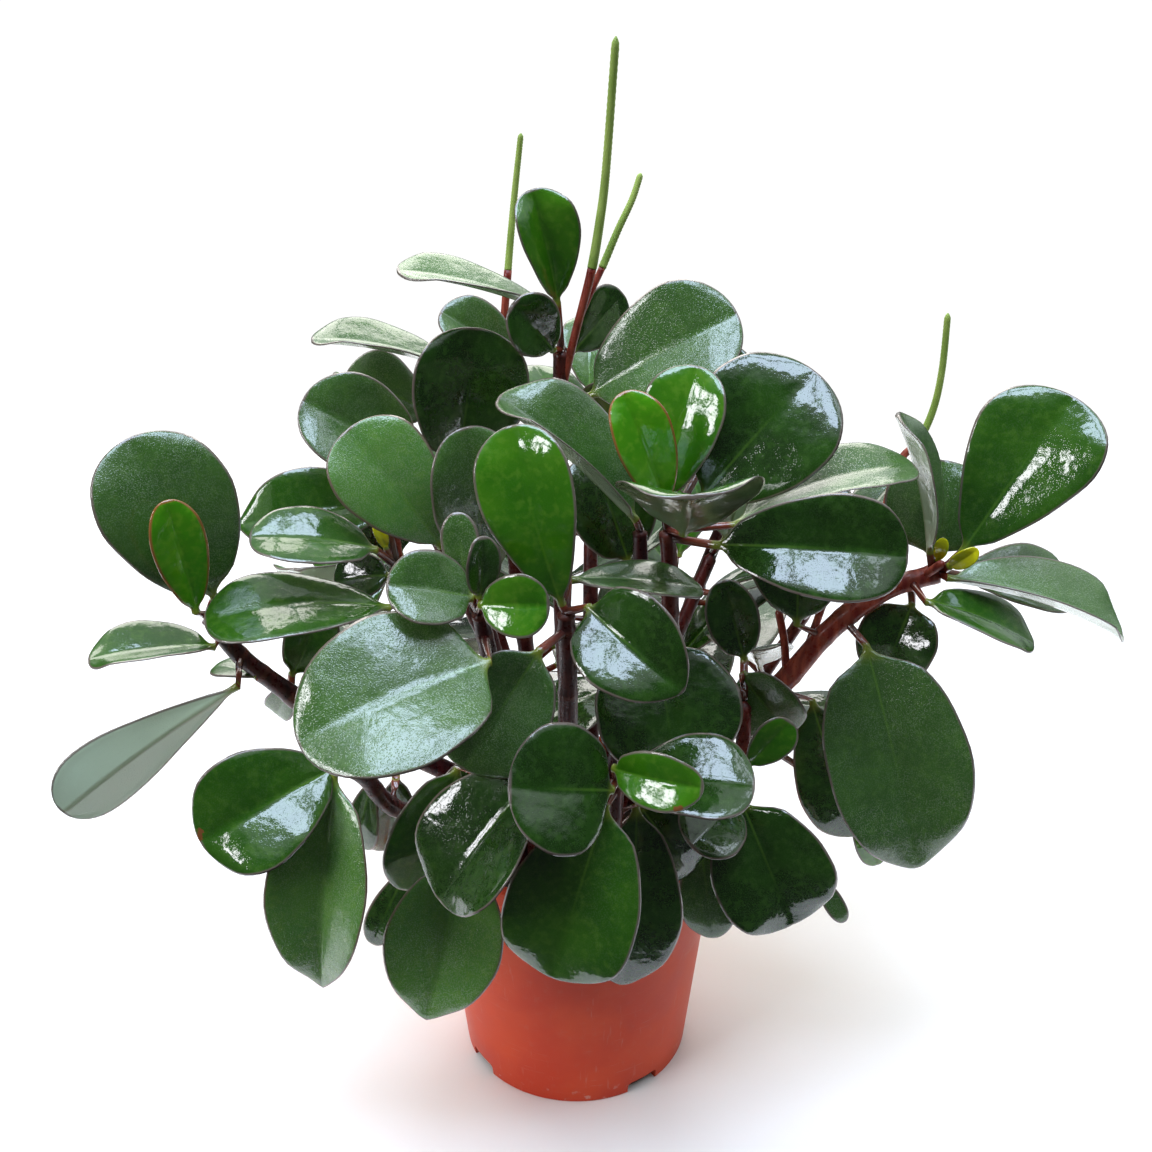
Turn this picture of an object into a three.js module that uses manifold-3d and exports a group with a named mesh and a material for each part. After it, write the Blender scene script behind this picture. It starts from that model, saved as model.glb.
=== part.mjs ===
// A potted peperomia: a plastic nursery pot, the soil in it, the fleshy red stems
// that grow out of the soil with their thick oval leaves, and the flower spikes.
// Millimetres, +Z up. The origin is the middle of the pot's flat bottom.
import * as THREE from "three";
import { mergeVertices } from "three/addons/utils/BufferGeometryUtils.js";
import Module from "manifold-3d";

// Pot: a common 12 cm nursery pot
const POT_FOOT_RADIUS = 46;
const POT_HEIGHT = 105;
const POT_RIM_RADIUS = 60;
const POT_RIM_DEPTH = 8;
const POT_TAPER = 0.108;
const POT_WALL = 1.3;
const POT_FLOOR = 1.6;
const POT_SIDES = 32;
const NOTCH_WIDTH = 14;
const NOTCH_HEIGHT = 5;
const NOTCH_REACH = 7;
const NOTCH_TURNS = [35, 125, 215, 305];

// Soil: fills the pot to a little under the rim
const SOIL_TOP = 93;
const FIT_GAP = 0.35;
const STEM_SUNK = 22;

// Stems: thick and fleshy, thinner towards the top
const STEM_SIDES = 5;
const STEM_STEPS = 2;
const STEM_COLLAR = 3;
const STEM_STRAIGHT = 24;
const STEM_LEAN = 0.15;
const HOLE_EASE = 0.2;
const HOLE_SIDES = 8;
const LEAF_NODES = 8;

// Leaves: thick oval blades on short round stalks
const LEAF_RIM = 0.7;
const LEAF_MIDDLE = 1.7;
const STALK_HALF_WIDTH = 1.4;
const STALK_THICKNESS = 2.4;
const LEAF_STATIONS = [0.03, 0.2, 0.45, 0.7, 0.89, 0.985];
const BACK_STATIONS = [0.03, 0.25, 0.55, 0.82, 0.985];
const SMALL_LEAF = 24;
const LEAF_CLEARANCE = 0.45;
const SPOON = 0.5;
const SHARP = 0.5;
const LEAST_FOLD = 0.08;

// Shoots behind: a leaf's stalk, its least and further length, and how it climbs
const BACK_STALK = 13;
const BACK_LEAF = 34;
const BACK_GROWTH = 26;
const BACK_SPACING = 1.6;
const TOP_CLIMB = 1.0;
const CLIMB_LOST = 1.15;

// Spikes: thin, pimpled, tapering
const SPIKE_SIDES = 5;
const SPIKE_GAP = 0.45;
const SPIKE_STEPS = 3;

// The viewer: where the eye was, in mm, when the seen leaves were read off the picture
const VIEW_BACK = 395;
const VIEW_HEIGHT = 355;
const VIEW_PITCH = THREE.MathUtils.degToRad(21);
const VIEW_FOCAL_PX = 1155;
const VIEW_CENTRE_PX = 576;

const UP = new THREE.Vector3(0, 0, 1);
const EYE = new THREE.Vector3(0, -VIEW_BACK, VIEW_HEIGHT);

// The point seen at a place in the picture, at a given depth behind the pot's axis
function seen([across, down, depth]) {
  const right = (across - VIEW_CENTRE_PX) / VIEW_FOCAL_PX;
  const rise = (VIEW_CENTRE_PX - down) / VIEW_FOCAL_PX;
  const ahead = Math.cos(VIEW_PITCH) + rise * Math.sin(VIEW_PITCH);
  const climb = rise * Math.cos(VIEW_PITCH) - Math.sin(VIEW_PITCH);
  const reach = (depth + VIEW_BACK) / ahead;
  return new THREE.Vector3(right * reach, depth, VIEW_HEIGHT + climb * reach);
}

// Each stem: where it leaves the soil, the places it passes, and how thick it is.
// Places and leaves are [across, down, depth]: two picture readings and mm behind the axis.
// A leaf: start of the blade, tip, width in mm, how far its face turns from the viewer in
// degrees, and where they differ from most leaves, how spoon-shaped and how sharp it is,
// and how much further than usual it is folded along its middle, in radians.
const STEMS = {
  stem_top: {
    foot: [0, 6], path: [[562, 600, 6], [560, 470, 8], [561, 350, 8]], thick: [4.4, 2.6],
    leaves: [
      [[557, 303, 6], [531, 189, 0], 26, 24, 0.7, 0.5, 0.35],
      [[556, 312, 2], [397, 272, -18], 27, 74],
      [[553, 350, 0], [512, 304, -6], 22, 25],
      [[572, 352, 14], [622, 292, 24], 20, 20],
      [[590, 396, 4], [738, 314, -2], 42, -22, 0.4],
    ],
  },
  stem_upper_left: {
    foot: [-14, 20], path: [[520, 600, 24], [508, 480, 26], [502, 392, 26]], thick: [4.0, 2.5],
    leaves: [
      [[460, 372, 22], [311, 341, 8], 32, 72],
      [[518, 374, 32], [440, 312, 26], 26, 35],
      [[430, 415, 24], [345, 376, 18], 30, 30],
    ],
  },
  stem_left_front: {
    foot: [-16, -6], path: [[490, 640, -6], [462, 560, -4], [452, 482, 0]], thick: [4.2, 2.6],
    leaves: [
      [[456, 462, -8], [472, 327, -12], 43, 5, 0.3],
      [[415, 468, -6], [302, 400, -20], 36, 18, 0.3],
      [[441, 547, -26], [346, 430, -34], 36, 10, 0.9],
      [[480, 560, -14], [464, 427, -18], 35, -10, 0.3],
    ],
  },
  stem_middle: {
    foot: [-2, -30], path: [[568, 720, -55], [568, 660, -62], [566, 612, -66]], thick: [4.0, 2.6],
    leaves: [
      [[562, 604, -66], [512, 425, -62], 31, -12, 0.75],
      [[588, 607, -72], [684, 692, -92], 34, 5, 0.1, 0.7],
      [[572, 580, -60], [703, 591, -58], 27, -65],
      [[540, 650, -75], [462, 768, -82], 36, 12, 0.2],
    ],
  },
  stem_near_left: {
    foot: [-20, -24], path: [[500, 720, -58], [490, 660, -72], [479, 612, -76]], thick: [3.8, 2.4],
    leaves: [
      [[472, 598, -80], [386, 585, -88], 25, 20, 0.1],
      [[468, 592, -76], [457, 512, -74], 12, 0],
      [[479, 596, -80], [482, 536, -84], 12, 20, 0.3, 0.5, 0.15],
      [[480, 605, -82], [550, 605, -88], 20, -10, 0.3],
      [[490, 662, -90], [298, 744, -114], 50, 24, 0, 0.5, -0.22],
    ],
  },
  stem_centre_right: {
    foot: [14, -14], path: [[664, 680, -34], [670, 590, -40], [667, 530, -42]], thick: [4.0, 2.6],
    leaves: [
      [[664, 506, -44], [622, 392, -48], 22, 15, 0.5, 0.5, 0.3],
      [[665, 500, -36], [698, 366, -30], 29, -15, 0.6],
      [[715, 440, -12], [733, 346, -4], 19, 10],
      [[702, 498, -36], [816, 372, -30], 47, 5, 0.35],
      [[684, 534, -50], [694, 497, -88], 46, 180, 0.3],
      [[735, 525, -42], [916, 468, -36], 33, -72],
      [[715, 545, -52], [908, 556, -62], 36, -8, 0.5],
      [[655, 640, -46], [676, 776, -70], 50, -10, 0.1],
    ],
  },
  stem_centre: {
    foot: [8, -22], path: [[634, 690, -34], [640, 590, -38], [640, 530, -40]], thick: [3.6, 2.4],
    leaves: [
      [[636, 520, -42], [496, 400, -44], 40, 58, 0.3, 0.5, 0.4],
      [[628, 562, -26], [590, 452, -20], 34, 10, 0.3],
    ],
  },
  stem_right: {
    foot: [30, -4], path: [[775, 690, -15], [830, 630, -17], [882, 592, -19], [940, 572, -20]],
    thick: [4.6, 3.4],
    leaves: [
      [[962, 552, -20], [1073, 396, -16], 44, -5, 0.85, 0.5, 0.1],
      [[930, 552, -22], [897, 414, -22], 34, 54, 0.3, 0.5, 0.2],
      [[930, 556, -8], [944, 460, 2], 42, 10, 0.2],
      [[947, 578, -28], [1122, 636, -34], 34, -60, 0.5, 0.5, 0.2],
      [[926, 602, -36], [1034, 646, -44], 28, -32, 0.2],
      [[960, 575, -10], [1072, 590, -6], 30, -35],
      [[912, 604, -14], [882, 678, -20], 30, 0, 0],
      [[866, 645, -26], [917, 868, -46], 53, -8, 0.15, 0.68, 0.2],
      [[812, 700, -6], [858, 835, -12], 32, 10, 0.3],
      [[797, 625, -20], [802, 470, -8], 42, 0],
      [[850, 800, 6], [877, 865, 4], 12, 0],
    ],
  },
  stem_far_left: {
    foot: [-30, -6], path: [[330, 720, -24], [285, 690, -30], [240, 655, -36], [208, 616, -40]],
    thick: [4.2, 2.8],
    leaves: [
      [[214, 597, -40], [128, 438, -46], 44, 8, 0.45],
      [[196, 612, -52], [166, 500, -58], 18, 10],
      [[215, 647, -46], [88, 662, -60], 28, 60, 0.3],
      [[238, 686, -52], [62, 812, -72], 28, 150, 1.4],
      [[258, 677, -36], [214, 667, -42], 12, 20],
      [[292, 674, -20], [325, 607, -12], 20, 10, 0.2],
      [[292, 686, -24], [277, 714, -26], 13, 10, 0.2],
    ],
  },
  stem_left: {
    foot: [-24, 4], path: [[450, 660, -14], [410, 610, -26], [396, 566, -30]], thick: [3.8, 2.4],
    leaves: [
      [[376, 550, -38], [249, 538, -48], 26, 42, 0.3],
      [[388, 505, -16], [238, 526, -24], 32, 25, 0.4, 0.8],
      [[400, 555, -14], [365, 492, -8], 22, 10, 0.2],
      [[390, 608, -38], [204, 622, -56], 34, 48, 0.6],
      [[390, 576, -22], [334, 582, -16], 20, 20, 0.2],
    ],
  },
  stem_low_left: {
    foot: [-30, -28], path: [[400, 810, -62], [365, 778, -72], [341, 766, -76]], thick: [3.6, 2.4],
    leaves: [
      [[336, 768, -78], [200, 842, -98], 38, 5, 0.5, 0.55],
      [[334, 774, -80], [323, 988, -92], 39, 15, 0.3, 0.95, 0.25],
      [[372, 780, -64], [362, 848, -60], 13, 20],
      [[396, 776, -56], [386, 850, -54], 20, 10],
    ],
  },
  stem_low_front: {
    foot: [-14, -38], path: [[520, 830, -72], [512, 800, -78], [510, 780, -80]], thick: [3.4, 2.4],
    leaves: [
      [[534, 778, -86], [440, 901, -102], 43, 5, 0.2],
      [[464, 858, -74], [426, 1020, -86], 41, 0, 0.25, 0.85, 0.2],
      [[458, 768, -68], [402, 890, -78], 29, 5, 0.2, 0.6],
      [[412, 862, -56], [372, 944, -58], 13, 10],
      [[508, 758, -52], [446, 820, -58], 28, 15, 0.2],
    ],
  },
  stem_low_middle: {
    foot: [6, -42], path: [[608, 860, -74], [614, 820, -82], [616, 780, -84]], thick: [3.6, 2.5],
    leaves: [
      [[612, 790, -92], [508, 788, -106], 40, 0, 0.1],
      [[606, 804, -92], [552, 977, -98], 44, 0, 0.25],
      [[636, 805, -78], [624, 985, -78], 34, 0, 0.4, 0.75],
      [[614, 768, -90], [704, 788, -106], 19, 15, 0.2],
      [[622, 780, -80], [755, 786, -88], 32, -30],
      [[640, 806, -66], [690, 872, -62], 28, 0, 0.2],
    ],
  },
  stem_low_right: {
    foot: [28, -28], path: [[720, 850, -46], [738, 820, -50], [742, 790, -50], [744, 700, -40]],
    thick: [3.8, 2.5],
    leaves: [
      [[742, 802, -58], [792, 924, -68], 43, 0, 0.1],
      [[700, 842, -56], [713, 938, -62], 21, 0, 0.3, 0.6],
      [[742, 672, -34], [794, 730, -40], 28, 5, 0.2],
      [[748, 765, -54], [790, 720, -56], 15, 20],
      [[744, 658, -28], [722, 580, -26], 20, 0, 0.2],
      [[812, 868, -40], [845, 922, -44], 8, 0],
      [[734, 802, -58], [690, 846, -62], 26, 0, 0.3],
    ],
  },
};

// Shoots behind, which follow the same growth by rule: foot in the soil, top, thickness,
// and how many leaves turn round the stem below its top
const BACK_STEMS = {
  stem_back: { foot: [6, 24], top: [6, 78, 244], thick: [4.2, 2.6], leaves: 8 },
  stem_back_left: { foot: [-18, 34], top: [-70, 64, 222], thick: [4.0, 2.6], leaves: 8 },
  stem_back_right: { foot: [22, 26], top: [64, 58, 214], thick: [4.0, 2.6], leaves: 8 },
  stem_side_right: { foot: [36, 12], top: [104, 52, 180], thick: [3.8, 2.5], leaves: 7 },
  stem_side_left: { foot: [-36, 16], top: [-108, 44, 172], thick: [3.8, 2.5], leaves: 7 },
  stem_rear_left: { foot: [-8, 42], top: [-38, 122, 184], thick: [3.8, 2.5], leaves: 8 },
  stem_rear_right: { foot: [16, 40], top: [46, 120, 174], thick: [3.8, 2.5], leaves: 8 },
  stem_inner_left: { foot: [-13, 8], top: [-44, 26, 216], thick: [3.6, 2.4], leaves: 6 },
  stem_inner_right: { foot: [14, 8], top: [52, 18, 206], thick: [3.6, 2.4], leaves: 6 },
};

// Flower spikes: the stem each one grows from, its red stalk, its green spike, and radii
const SPIKES = {
  spike_tall: {
    on: "stem_top", stalk: [[563, 385, 8], [575, 335, 6], [583, 305, 5], [592, 268, 4]],
    spike: [[592, 268, 4], [600, 220, 3], [606, 170, 2], [616, 36, -4]], thick: [1.5, 1.65, 1.25],
  },
  spike_side: {
    on: "stem_top", stalk: [[577, 325, 5], [590, 294, 9], [602, 268, 12]],
    spike: [[602, 268, 12], [618, 230, 14], [632, 200, 15], [641, 173, 16]], thick: [1.2, 1.35, 1.05],
  },
  spike_back: {
    on: "stem_upper_left", stalk: [[503, 396, 26], [503, 340, 34], [508, 270, 36]],
    spike: [[508, 270, 36], [514, 200, 36], [521, 133, 34]], thick: [1.4, 1.35, 1.0],
  },
  spike_right: {
    on: "stem_right", stalk: [[890, 588, -19], [884, 520, 6], [900, 462, 14], [918, 442, 14]],
    spike: [[918, 442, 14], [933, 410, 14], [942, 370, 12], [948, 313, 10]], thick: [1.4, 1.4, 1.1],
  },
};

// Corners closer than this are drawn together where solids join
const JOIN_TOLERANCE = 0.02;

const wasm = await Module();
wasm.setup();

// Turns a closed geometry into a solid that can be joined and cut
function asSolid(geometry) {
  const plain = geometry.index ? geometry.clone() : geometry;
  plain.deleteAttribute("normal");
  plain.deleteAttribute("uv");
  const welded = mergeVertices(plain, 1e-4);
  return new wasm.Manifold(
    new wasm.Mesh({
      numProp: 3,
      vertProperties: new Float32Array(welded.attributes.position.array),
      triVerts: new Uint32Array(welded.index.array),
      tolerance: JOIN_TOLERANCE,
    }),
  );
}

// Turns a solid back into a geometry with flat faces
function asGeometry(solid) {
  const mesh = solid.getMesh();
  const geometry = new THREE.BufferGeometry();
  geometry.setAttribute("position", new THREE.BufferAttribute(mesh.vertProperties, 3));
  geometry.setIndex(new THREE.BufferAttribute(mesh.triVerts, 1));
  geometry.computeVertexNormals();
  return geometry;
}

// Joins solids into one body, and drops any scrap that doesn't hold on to it
function joined(solids) {
  const bodies = solids.reduce((sum, solid) => sum.add(solid)).decompose();
  return bodies.reduce((largest, body) => (body.volume() > largest.volume() ? body : largest));
}

// One closed skin over a row of rings with the same number of points
function skinOver(rings) {
  const sides = rings[0].length;
  const corners = rings.flat().flatMap((point) => point.toArray());
  const faces = [];
  for (let ring = 0; ring + 1 < rings.length; ring++) {
    for (let side = 0; side < sides; side++) {
      const here = ring * sides + side;
      const beside = ring * sides + ((side + 1) % sides);
      faces.push(here, beside, beside + sides, here, beside + sides, here + sides);
    }
  }
  const last = (rings.length - 1) * sides;
  for (let side = 1; side + 1 < sides; side++) {
    faces.push(0, side + 1, side);
    faces.push(last, last + side, last + side + 1);
  }
  const geometry = new THREE.BufferGeometry();
  geometry.setAttribute("position", new THREE.Float32BufferAttribute(corners, 3));
  geometry.setIndex(faces);
  return asSolid(geometry);
}

// A round tapering rod along a list of points
function rodAlong(points, radiusAt, sides) {
  const rings = [];
  let across = new THREE.Vector3(1, 0, 0);
  points.forEach((point, step) => {
    const before = points[Math.max(step - 1, 0)];
    const after = points[Math.min(step + 1, points.length - 1)];
    const ahead = after.clone().sub(before).normalize();
    across = across.clone().addScaledVector(ahead, -across.dot(ahead)).normalize();
    const beside = ahead.clone().cross(across);
    const radius = radiusAt(step / (points.length - 1));
    const ring = [];
    for (let side = 0; side < sides; side++) {
      const turn = (2 * Math.PI * side) / sides;
      ring.push(
        point
          .clone()
          .addScaledVector(across, radius * Math.cos(turn))
          .addScaledVector(beside, radius * Math.sin(turn)),
      );
    }
    rings.push(ring);
  });
  return skinOver(rings);
}

// Even draws from 0 to 1 that are the same every time for the same seed
function drawsFrom(seed) {
  let state = seed * 7919 + 12345;
  return () => {
    state = (state * 1664525 + 1013904223) % 4294967296;
    return state / 4294967296;
  };
}

// Half width of a leaf along its length, 1 at the widest place. A spoon of 0 is an oval,
// widest in the middle, and a spoon of 1 is narrow at the stalk and broad towards the tip.
// A sharp of 0.5 gives a round tip, and 0.8 a pointed one.
function leafProfile(along, spoon, sharp) {
  const narrow = 0.5 + 0.35 * spoon;
  const blunt = 1 + 2.4 * spoon;
  const outline = (place) => Math.pow(place, narrow) * Math.pow(1 - Math.pow(place, blunt), sharp);
  const widest = Math.pow(narrow / (narrow + blunt * sharp), 1 / blunt);
  return outline(along) / outline(widest);
}

// The frame of one leaf: where its blade starts and ends, which way it faces, how it bends
function leafForm(base, tip, face, width, shape, draw) {
  const ahead = tip.clone().sub(base).normalize();
  const side = ahead.clone().cross(face).normalize();
  const up = side.clone().cross(ahead);
  return {
    base, tip, side, up, width, ahead,
    spoon: shape.spoon,
    sharp: shape.sharp,
    stations: shape.stations,
    length: tip.distanceTo(base),
    arch: 0.05 + 0.13 * draw(),
    fold: LEAST_FOLD + 0.3 * draw() + shape.folded,
    cup: 0.12 * (draw() - 0.3),
    twist: 0.5 * (draw() - 0.5),
  };
}

// The six points round one leaf at one place along it
function leafRing(leaf, along, extra) {
  const crown = leaf.base.clone().lerp(leaf.tip, 0.5).addScaledVector(leaf.up, leaf.arch * leaf.length);
  const middle = new THREE.QuadraticBezierCurve3(leaf.base, crown, leaf.tip);
  const centre = middle.getPoint(along);
  const ahead = middle.getTangent(along);
  const rise = leaf.side.clone().cross(ahead);
  const turn = leaf.twist * (along - 0.5);
  const side = leaf.side.clone().multiplyScalar(Math.cos(turn)).addScaledVector(rise, Math.sin(turn));
  const up = side.clone().cross(ahead);
  const half = (leaf.width / 2) * leafProfile(along, leaf.spoon, leaf.sharp);
  const lift = half * (Math.sin(leaf.fold) + leaf.cup);
  const slant = Math.cos(leaf.fold);
  const spread = half * slant + extra;
  const rim = LEAF_RIM / 2 / slant + extra;
  const rib = LEAF_MIDDLE / 2 / slant + extra;
  const place = (out, high) => centre.clone().addScaledVector(side, out).addScaledVector(up, high);
  return [
    place(-spread, lift + rim), place(0, rib), place(spread, lift + rim),
    place(spread, lift - rim), place(0, -rib), place(-spread, lift - rim),
  ];
}

// The six points round a leaf's stalk where it leaves the stem
function stalkRing(leaf, root, extra) {
  const ahead = leaf.base.clone().sub(root).normalize();
  const lean = leaf.up.clone().addScaledVector(leaf.ahead, -0.5);
  const up = lean.addScaledVector(ahead, -lean.dot(ahead)).normalize();
  const side = ahead.clone().cross(up);
  const half = STALK_HALF_WIDTH + extra;
  const thick = STALK_THICKNESS / 2 + extra;
  const place = (out, high) => root.clone().addScaledVector(side, out).addScaledVector(up, high);
  return [
    place(-half, thick / 2), place(0, thick), place(half, thick / 2),
    place(half, -thick / 2), place(0, -thick), place(-half, -thick / 2),
  ];
}

// Leaf blade alone, and leaf with its stalk sunk in the stem
function bladeSolid(leaf, extra) {
  return skinOver(leaf.stations.slice(1).map((along) => leafRing(leaf, along, extra)));
}

function leafSolid(leaf, root, extra) {
  const blade = leaf.stations.map((along) => leafRing(leaf, along, extra));
  return skinOver([stalkRing(leaf, root, extra), ...blade]);
}

// The place on a stem's middle line that lies nearest to a point
function nearestOn(points, target) {
  let best = points[0];
  points.forEach((point) => {
    if (point.distanceTo(target) < best.distanceTo(target)) best = point;
  });
  return best;
}

// Everything that stands already, with the name of the node that it belongs to
const standing = [];

function boxesMeet(one, other) {
  return one.min.every((low, axis) => low <= other.max[axis] && other.min[axis] <= one.max[axis]);
}

function isClear(fat, fatBlade, node) {
  const box = fat.boundingBox();
  return standing.every((thing) => {
    if (!boxesMeet(box, thing.box)) return true;
    const probe = thing.node === node ? fatBlade : fat;
    return probe.intersect(thing.solid).isEmpty();
  });
}

function stand(solid, node) {
  standing.push({ solid, node, box: solid.boundingBox() });
}

// The ways a seen leaf may be bent clear: its tip nearer or further, its face turned a little
const SEEN_BENDS = [0, 5, -5, 10, -10, 16, -16, 24, -24, 34, -34];
const SEEN_TURNS = [0, 14, -14, 28, -28];

function seenForms([start, end, width, turned, spoon = SPOON, sharp = SHARP, folded = 0], number) {
  const stations = width < SMALL_LEAF ? BACK_STATIONS : LEAF_STATIONS;
  const shape = { spoon, sharp, folded, stations };
  const forms = [];
  for (const bend of SEEN_BENDS) {
    for (const turn of SEEN_TURNS) {
      const base = seen(start);
      const tip = seen([end[0], end[1], end[2] + bend]);
      const ahead = tip.clone().sub(base).normalize();
      const viewer = EYE.clone().sub(base);
      const facing = viewer.addScaledVector(ahead, -viewer.dot(ahead)).normalize();
      const away = ahead.clone().cross(facing);
      const angle = THREE.MathUtils.degToRad(turned + turn);
      const face = facing.multiplyScalar(Math.cos(angle)).addScaledVector(away, Math.sin(angle));
      forms.push(leafForm(base, tip, face, width, shape, drawsFrom(number)));
    }
  }
  return forms;
}

// Leaves of a shoot behind turn round its stem by the golden angle, the lower the longer
const GOLDEN_TURN = THREE.MathUtils.degToRad(137.5);
const BACK_SWINGS = [0, 0.35, -0.35, 0.7, -0.7, 1.05, -1.05];
const BACK_LIFTS = [0, 0.25, -0.25, 0.5];

function backForms(path, count, order, number) {
  const shape = { spoon: SPOON, sharp: SHARP, folded: 0, stations: BACK_STATIONS };
  const draw = drawsFrom(number);
  const low = order / (count - 1);
  const from = path[path.length - 1 - Math.round(order * BACK_SPACING)];
  const length = BACK_LEAF + BACK_GROWTH * Math.sqrt(low) + 6 * draw();
  const width = length * (0.58 + 0.12 * draw());
  const heading = order * GOLDEN_TURN + number;
  const climb = TOP_CLIMB - CLIMB_LOST * low + 0.3 * (draw() - 0.5);
  const forms = [];
  for (const swing of BACK_SWINGS) {
    for (const lift of BACK_LIFTS) {
      const turn = heading + swing;
      const out = new THREE.Vector3(Math.cos(turn), Math.sin(turn), 0);
      const rise = climb + lift;
      const stalk = out.clone().addScaledVector(UP, 0.9).normalize();
      const ahead = out.clone().multiplyScalar(Math.cos(rise)).addScaledVector(UP, Math.sin(rise));
      const base = from.clone().addScaledVector(stalk, BACK_STALK);
      const tip = base.clone().addScaledVector(ahead, length);
      const face = UP.clone().addScaledVector(out, 0.35);
      forms.push(leafForm(base, tip, face, width, shape, drawsFrom(number)));
    }
  }
  return forms;
}

// The middle line of a stem above the soil: it leaves the soil upright, then goes its way
function stemCurve(foot, way) {
  const collar = new THREE.Vector3(foot[0], foot[1], SOIL_TOP + STEM_COLLAR);
  const lean = way[0].clone().sub(collar).setZ(0).multiplyScalar(STEM_LEAN);
  const free = collar.clone().add(lean).addScaledVector(UP, STEM_STRAIGHT);
  return new THREE.CatmullRomCurve3([collar, free, ...way], false, "catmullrom", 0.5);
}

const curves = {};
for (const [name, stem] of Object.entries(STEMS)) {
  curves[name] = stemCurve(stem.foot, stem.path.map(seen));
}
for (const [name, stem] of Object.entries(BACK_STEMS)) {
  const top = new THREE.Vector3(...stem.top);
  const [x, y] = stem.foot;
  const knee = new THREE.Vector3(x * 0.6 + top.x * 0.4, y * 0.6 + top.y * 0.4, top.z * 0.72);
  curves[name] = stemCurve(stem.foot, [knee, top]);
}

const plant = {};
const lines = {};
for (const [name, stem] of Object.entries({ ...STEMS, ...BACK_STEMS })) {
  const [low, high] = stem.thick;
  const spans = curves[name].points.length - 1;
  const root = new THREE.Vector3(stem.foot[0], stem.foot[1], SOIL_TOP - STEM_SUNK);
  const points = [root, ...curves[name].getPoints(STEM_STEPS * spans)];
  const solid = rodAlong(points, (along) => low + (high - low) * along, STEM_SIDES);
  lines[name] = curves[name].getPoints(LEAF_NODES * spans);
  plant[name] = [solid];
  stand(solid, name);
}

// Spikes and their stalks stand before the leaves, so that the leaves bend clear of them
const spikes = {};
for (const [name, spike] of Object.entries(SPIKES)) {
  const way = [...spike.stalk, ...spike.spike.slice(1)].map(seen);
  const curve = new THREE.CatmullRomCurve3(way, false, "catmullrom", 0.5);
  const points = curve.getPoints(SPIKE_STEPS * (way.length - 1));
  const seat = SPIKE_STEPS * (spike.stalk.length - 1);
  const stalkPoints = points.slice(0, seat + 1);
  const greenPoints = points.slice(seat);
  const up = greenPoints[1].clone().sub(greenPoints[0]).normalize();
  greenPoints[0] = greenPoints[0].clone().addScaledVector(up, SPIKE_GAP);
  const [stalkRadius, wide, narrow] = spike.thick;
  const stalk = rodAlong(stalkPoints, () => stalkRadius, SPIKE_SIDES);
  const green = rodAlong(greenPoints, (along) => wide + (narrow - wide) * along, SPIKE_SIDES);
  plant[spike.on].push(stalk);
  spikes[name] = green;
  stand(stalk, spike.on);
  stand(green, name);
}

// Pot: a thin tapered cup with a thick rim, and four drainage notches at its foot
function potSolid() {
  const wallTop = POT_HEIGHT - POT_RIM_DEPTH;
  const outerTop = POT_FOOT_RADIUS + POT_TAPER * wallTop;
  const profile = [
    [0, 0], [POT_FOOT_RADIUS, 0], [outerTop, wallTop], [POT_RIM_RADIUS, wallTop + 0.6],
    [POT_RIM_RADIUS, POT_HEIGHT - 0.8], [POT_RIM_RADIUS - 0.8, POT_HEIGHT],
    [outerTop + 0.4, POT_HEIGHT], [outerTop - POT_WALL, wallTop],
    [POT_FOOT_RADIUS - POT_WALL, POT_FLOOR], [0, POT_FLOOR],
  ].map(([radius, height]) => new THREE.Vector2(radius, height));
  const turned = new THREE.LatheGeometry(profile, POT_SIDES);
  turned.rotateX(Math.PI / 2);
  let pot = asSolid(turned);
  for (const turn of NOTCH_TURNS) {
    const notch = new THREE.BoxGeometry(NOTCH_WIDTH, 2 * NOTCH_REACH, 2 * NOTCH_HEIGHT);
    notch.translate(0, -POT_FOOT_RADIUS, 0);
    notch.rotateZ(THREE.MathUtils.degToRad(turn));
    pot = pot.subtract(asSolid(notch));
  }
  return pot;
}

// Soil: the filling of the pot, with a plain hole for each stem
function soilSolid() {
  const wallAt = (height) => POT_FOOT_RADIUS + POT_TAPER * height - POT_WALL - FIT_GAP;
  const bottom = POT_FLOOR + FIT_GAP;
  const profile = [[0, bottom], [wallAt(bottom), bottom], [wallAt(SOIL_TOP), SOIL_TOP], [0, SOIL_TOP]];
  const turned = new THREE.LatheGeometry(
    profile.map(([radius, height]) => new THREE.Vector2(radius, height)),
    POT_SIDES,
  );
  turned.rotateX(Math.PI / 2);
  let soil = asSolid(turned);
  for (const stem of Object.values({ ...STEMS, ...BACK_STEMS })) {
    const depth = STEM_SUNK + FIT_GAP;
    const radius = stem.thick[0] + FIT_GAP + HOLE_EASE;
    const hole = new THREE.CylinderGeometry(radius, radius, 2 * depth, HOLE_SIDES);
    hole.rotateX(Math.PI / 2);
    hole.translate(stem.foot[0], stem.foot[1], SOIL_TOP);
    soil = soil.subtract(asSolid(hole));
  }
  return soil;
}

const pot = potSolid();
const soil = soilSolid();
stand(pot, "pot");
stand(soil, "soil");

// Leaves: each takes the first of its ways that is clear of all that stands already,
// and one with no such way doesn't grow
let leafNumber = 0;

function growLeaf(name, forms) {
  for (const form of forms) {
    const root = nearestOn(lines[name], form.base);
    const fat = leafSolid(form, root, LEAF_CLEARANCE);
    const fatBlade = bladeSolid(form, LEAF_CLEARANCE);
    if (isClear(fat, fatBlade, name)) {
      const solid = leafSolid(form, root, 0);
      plant[name].push(solid);
      stand(solid, name);
      return;
    }
  }
}

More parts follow.
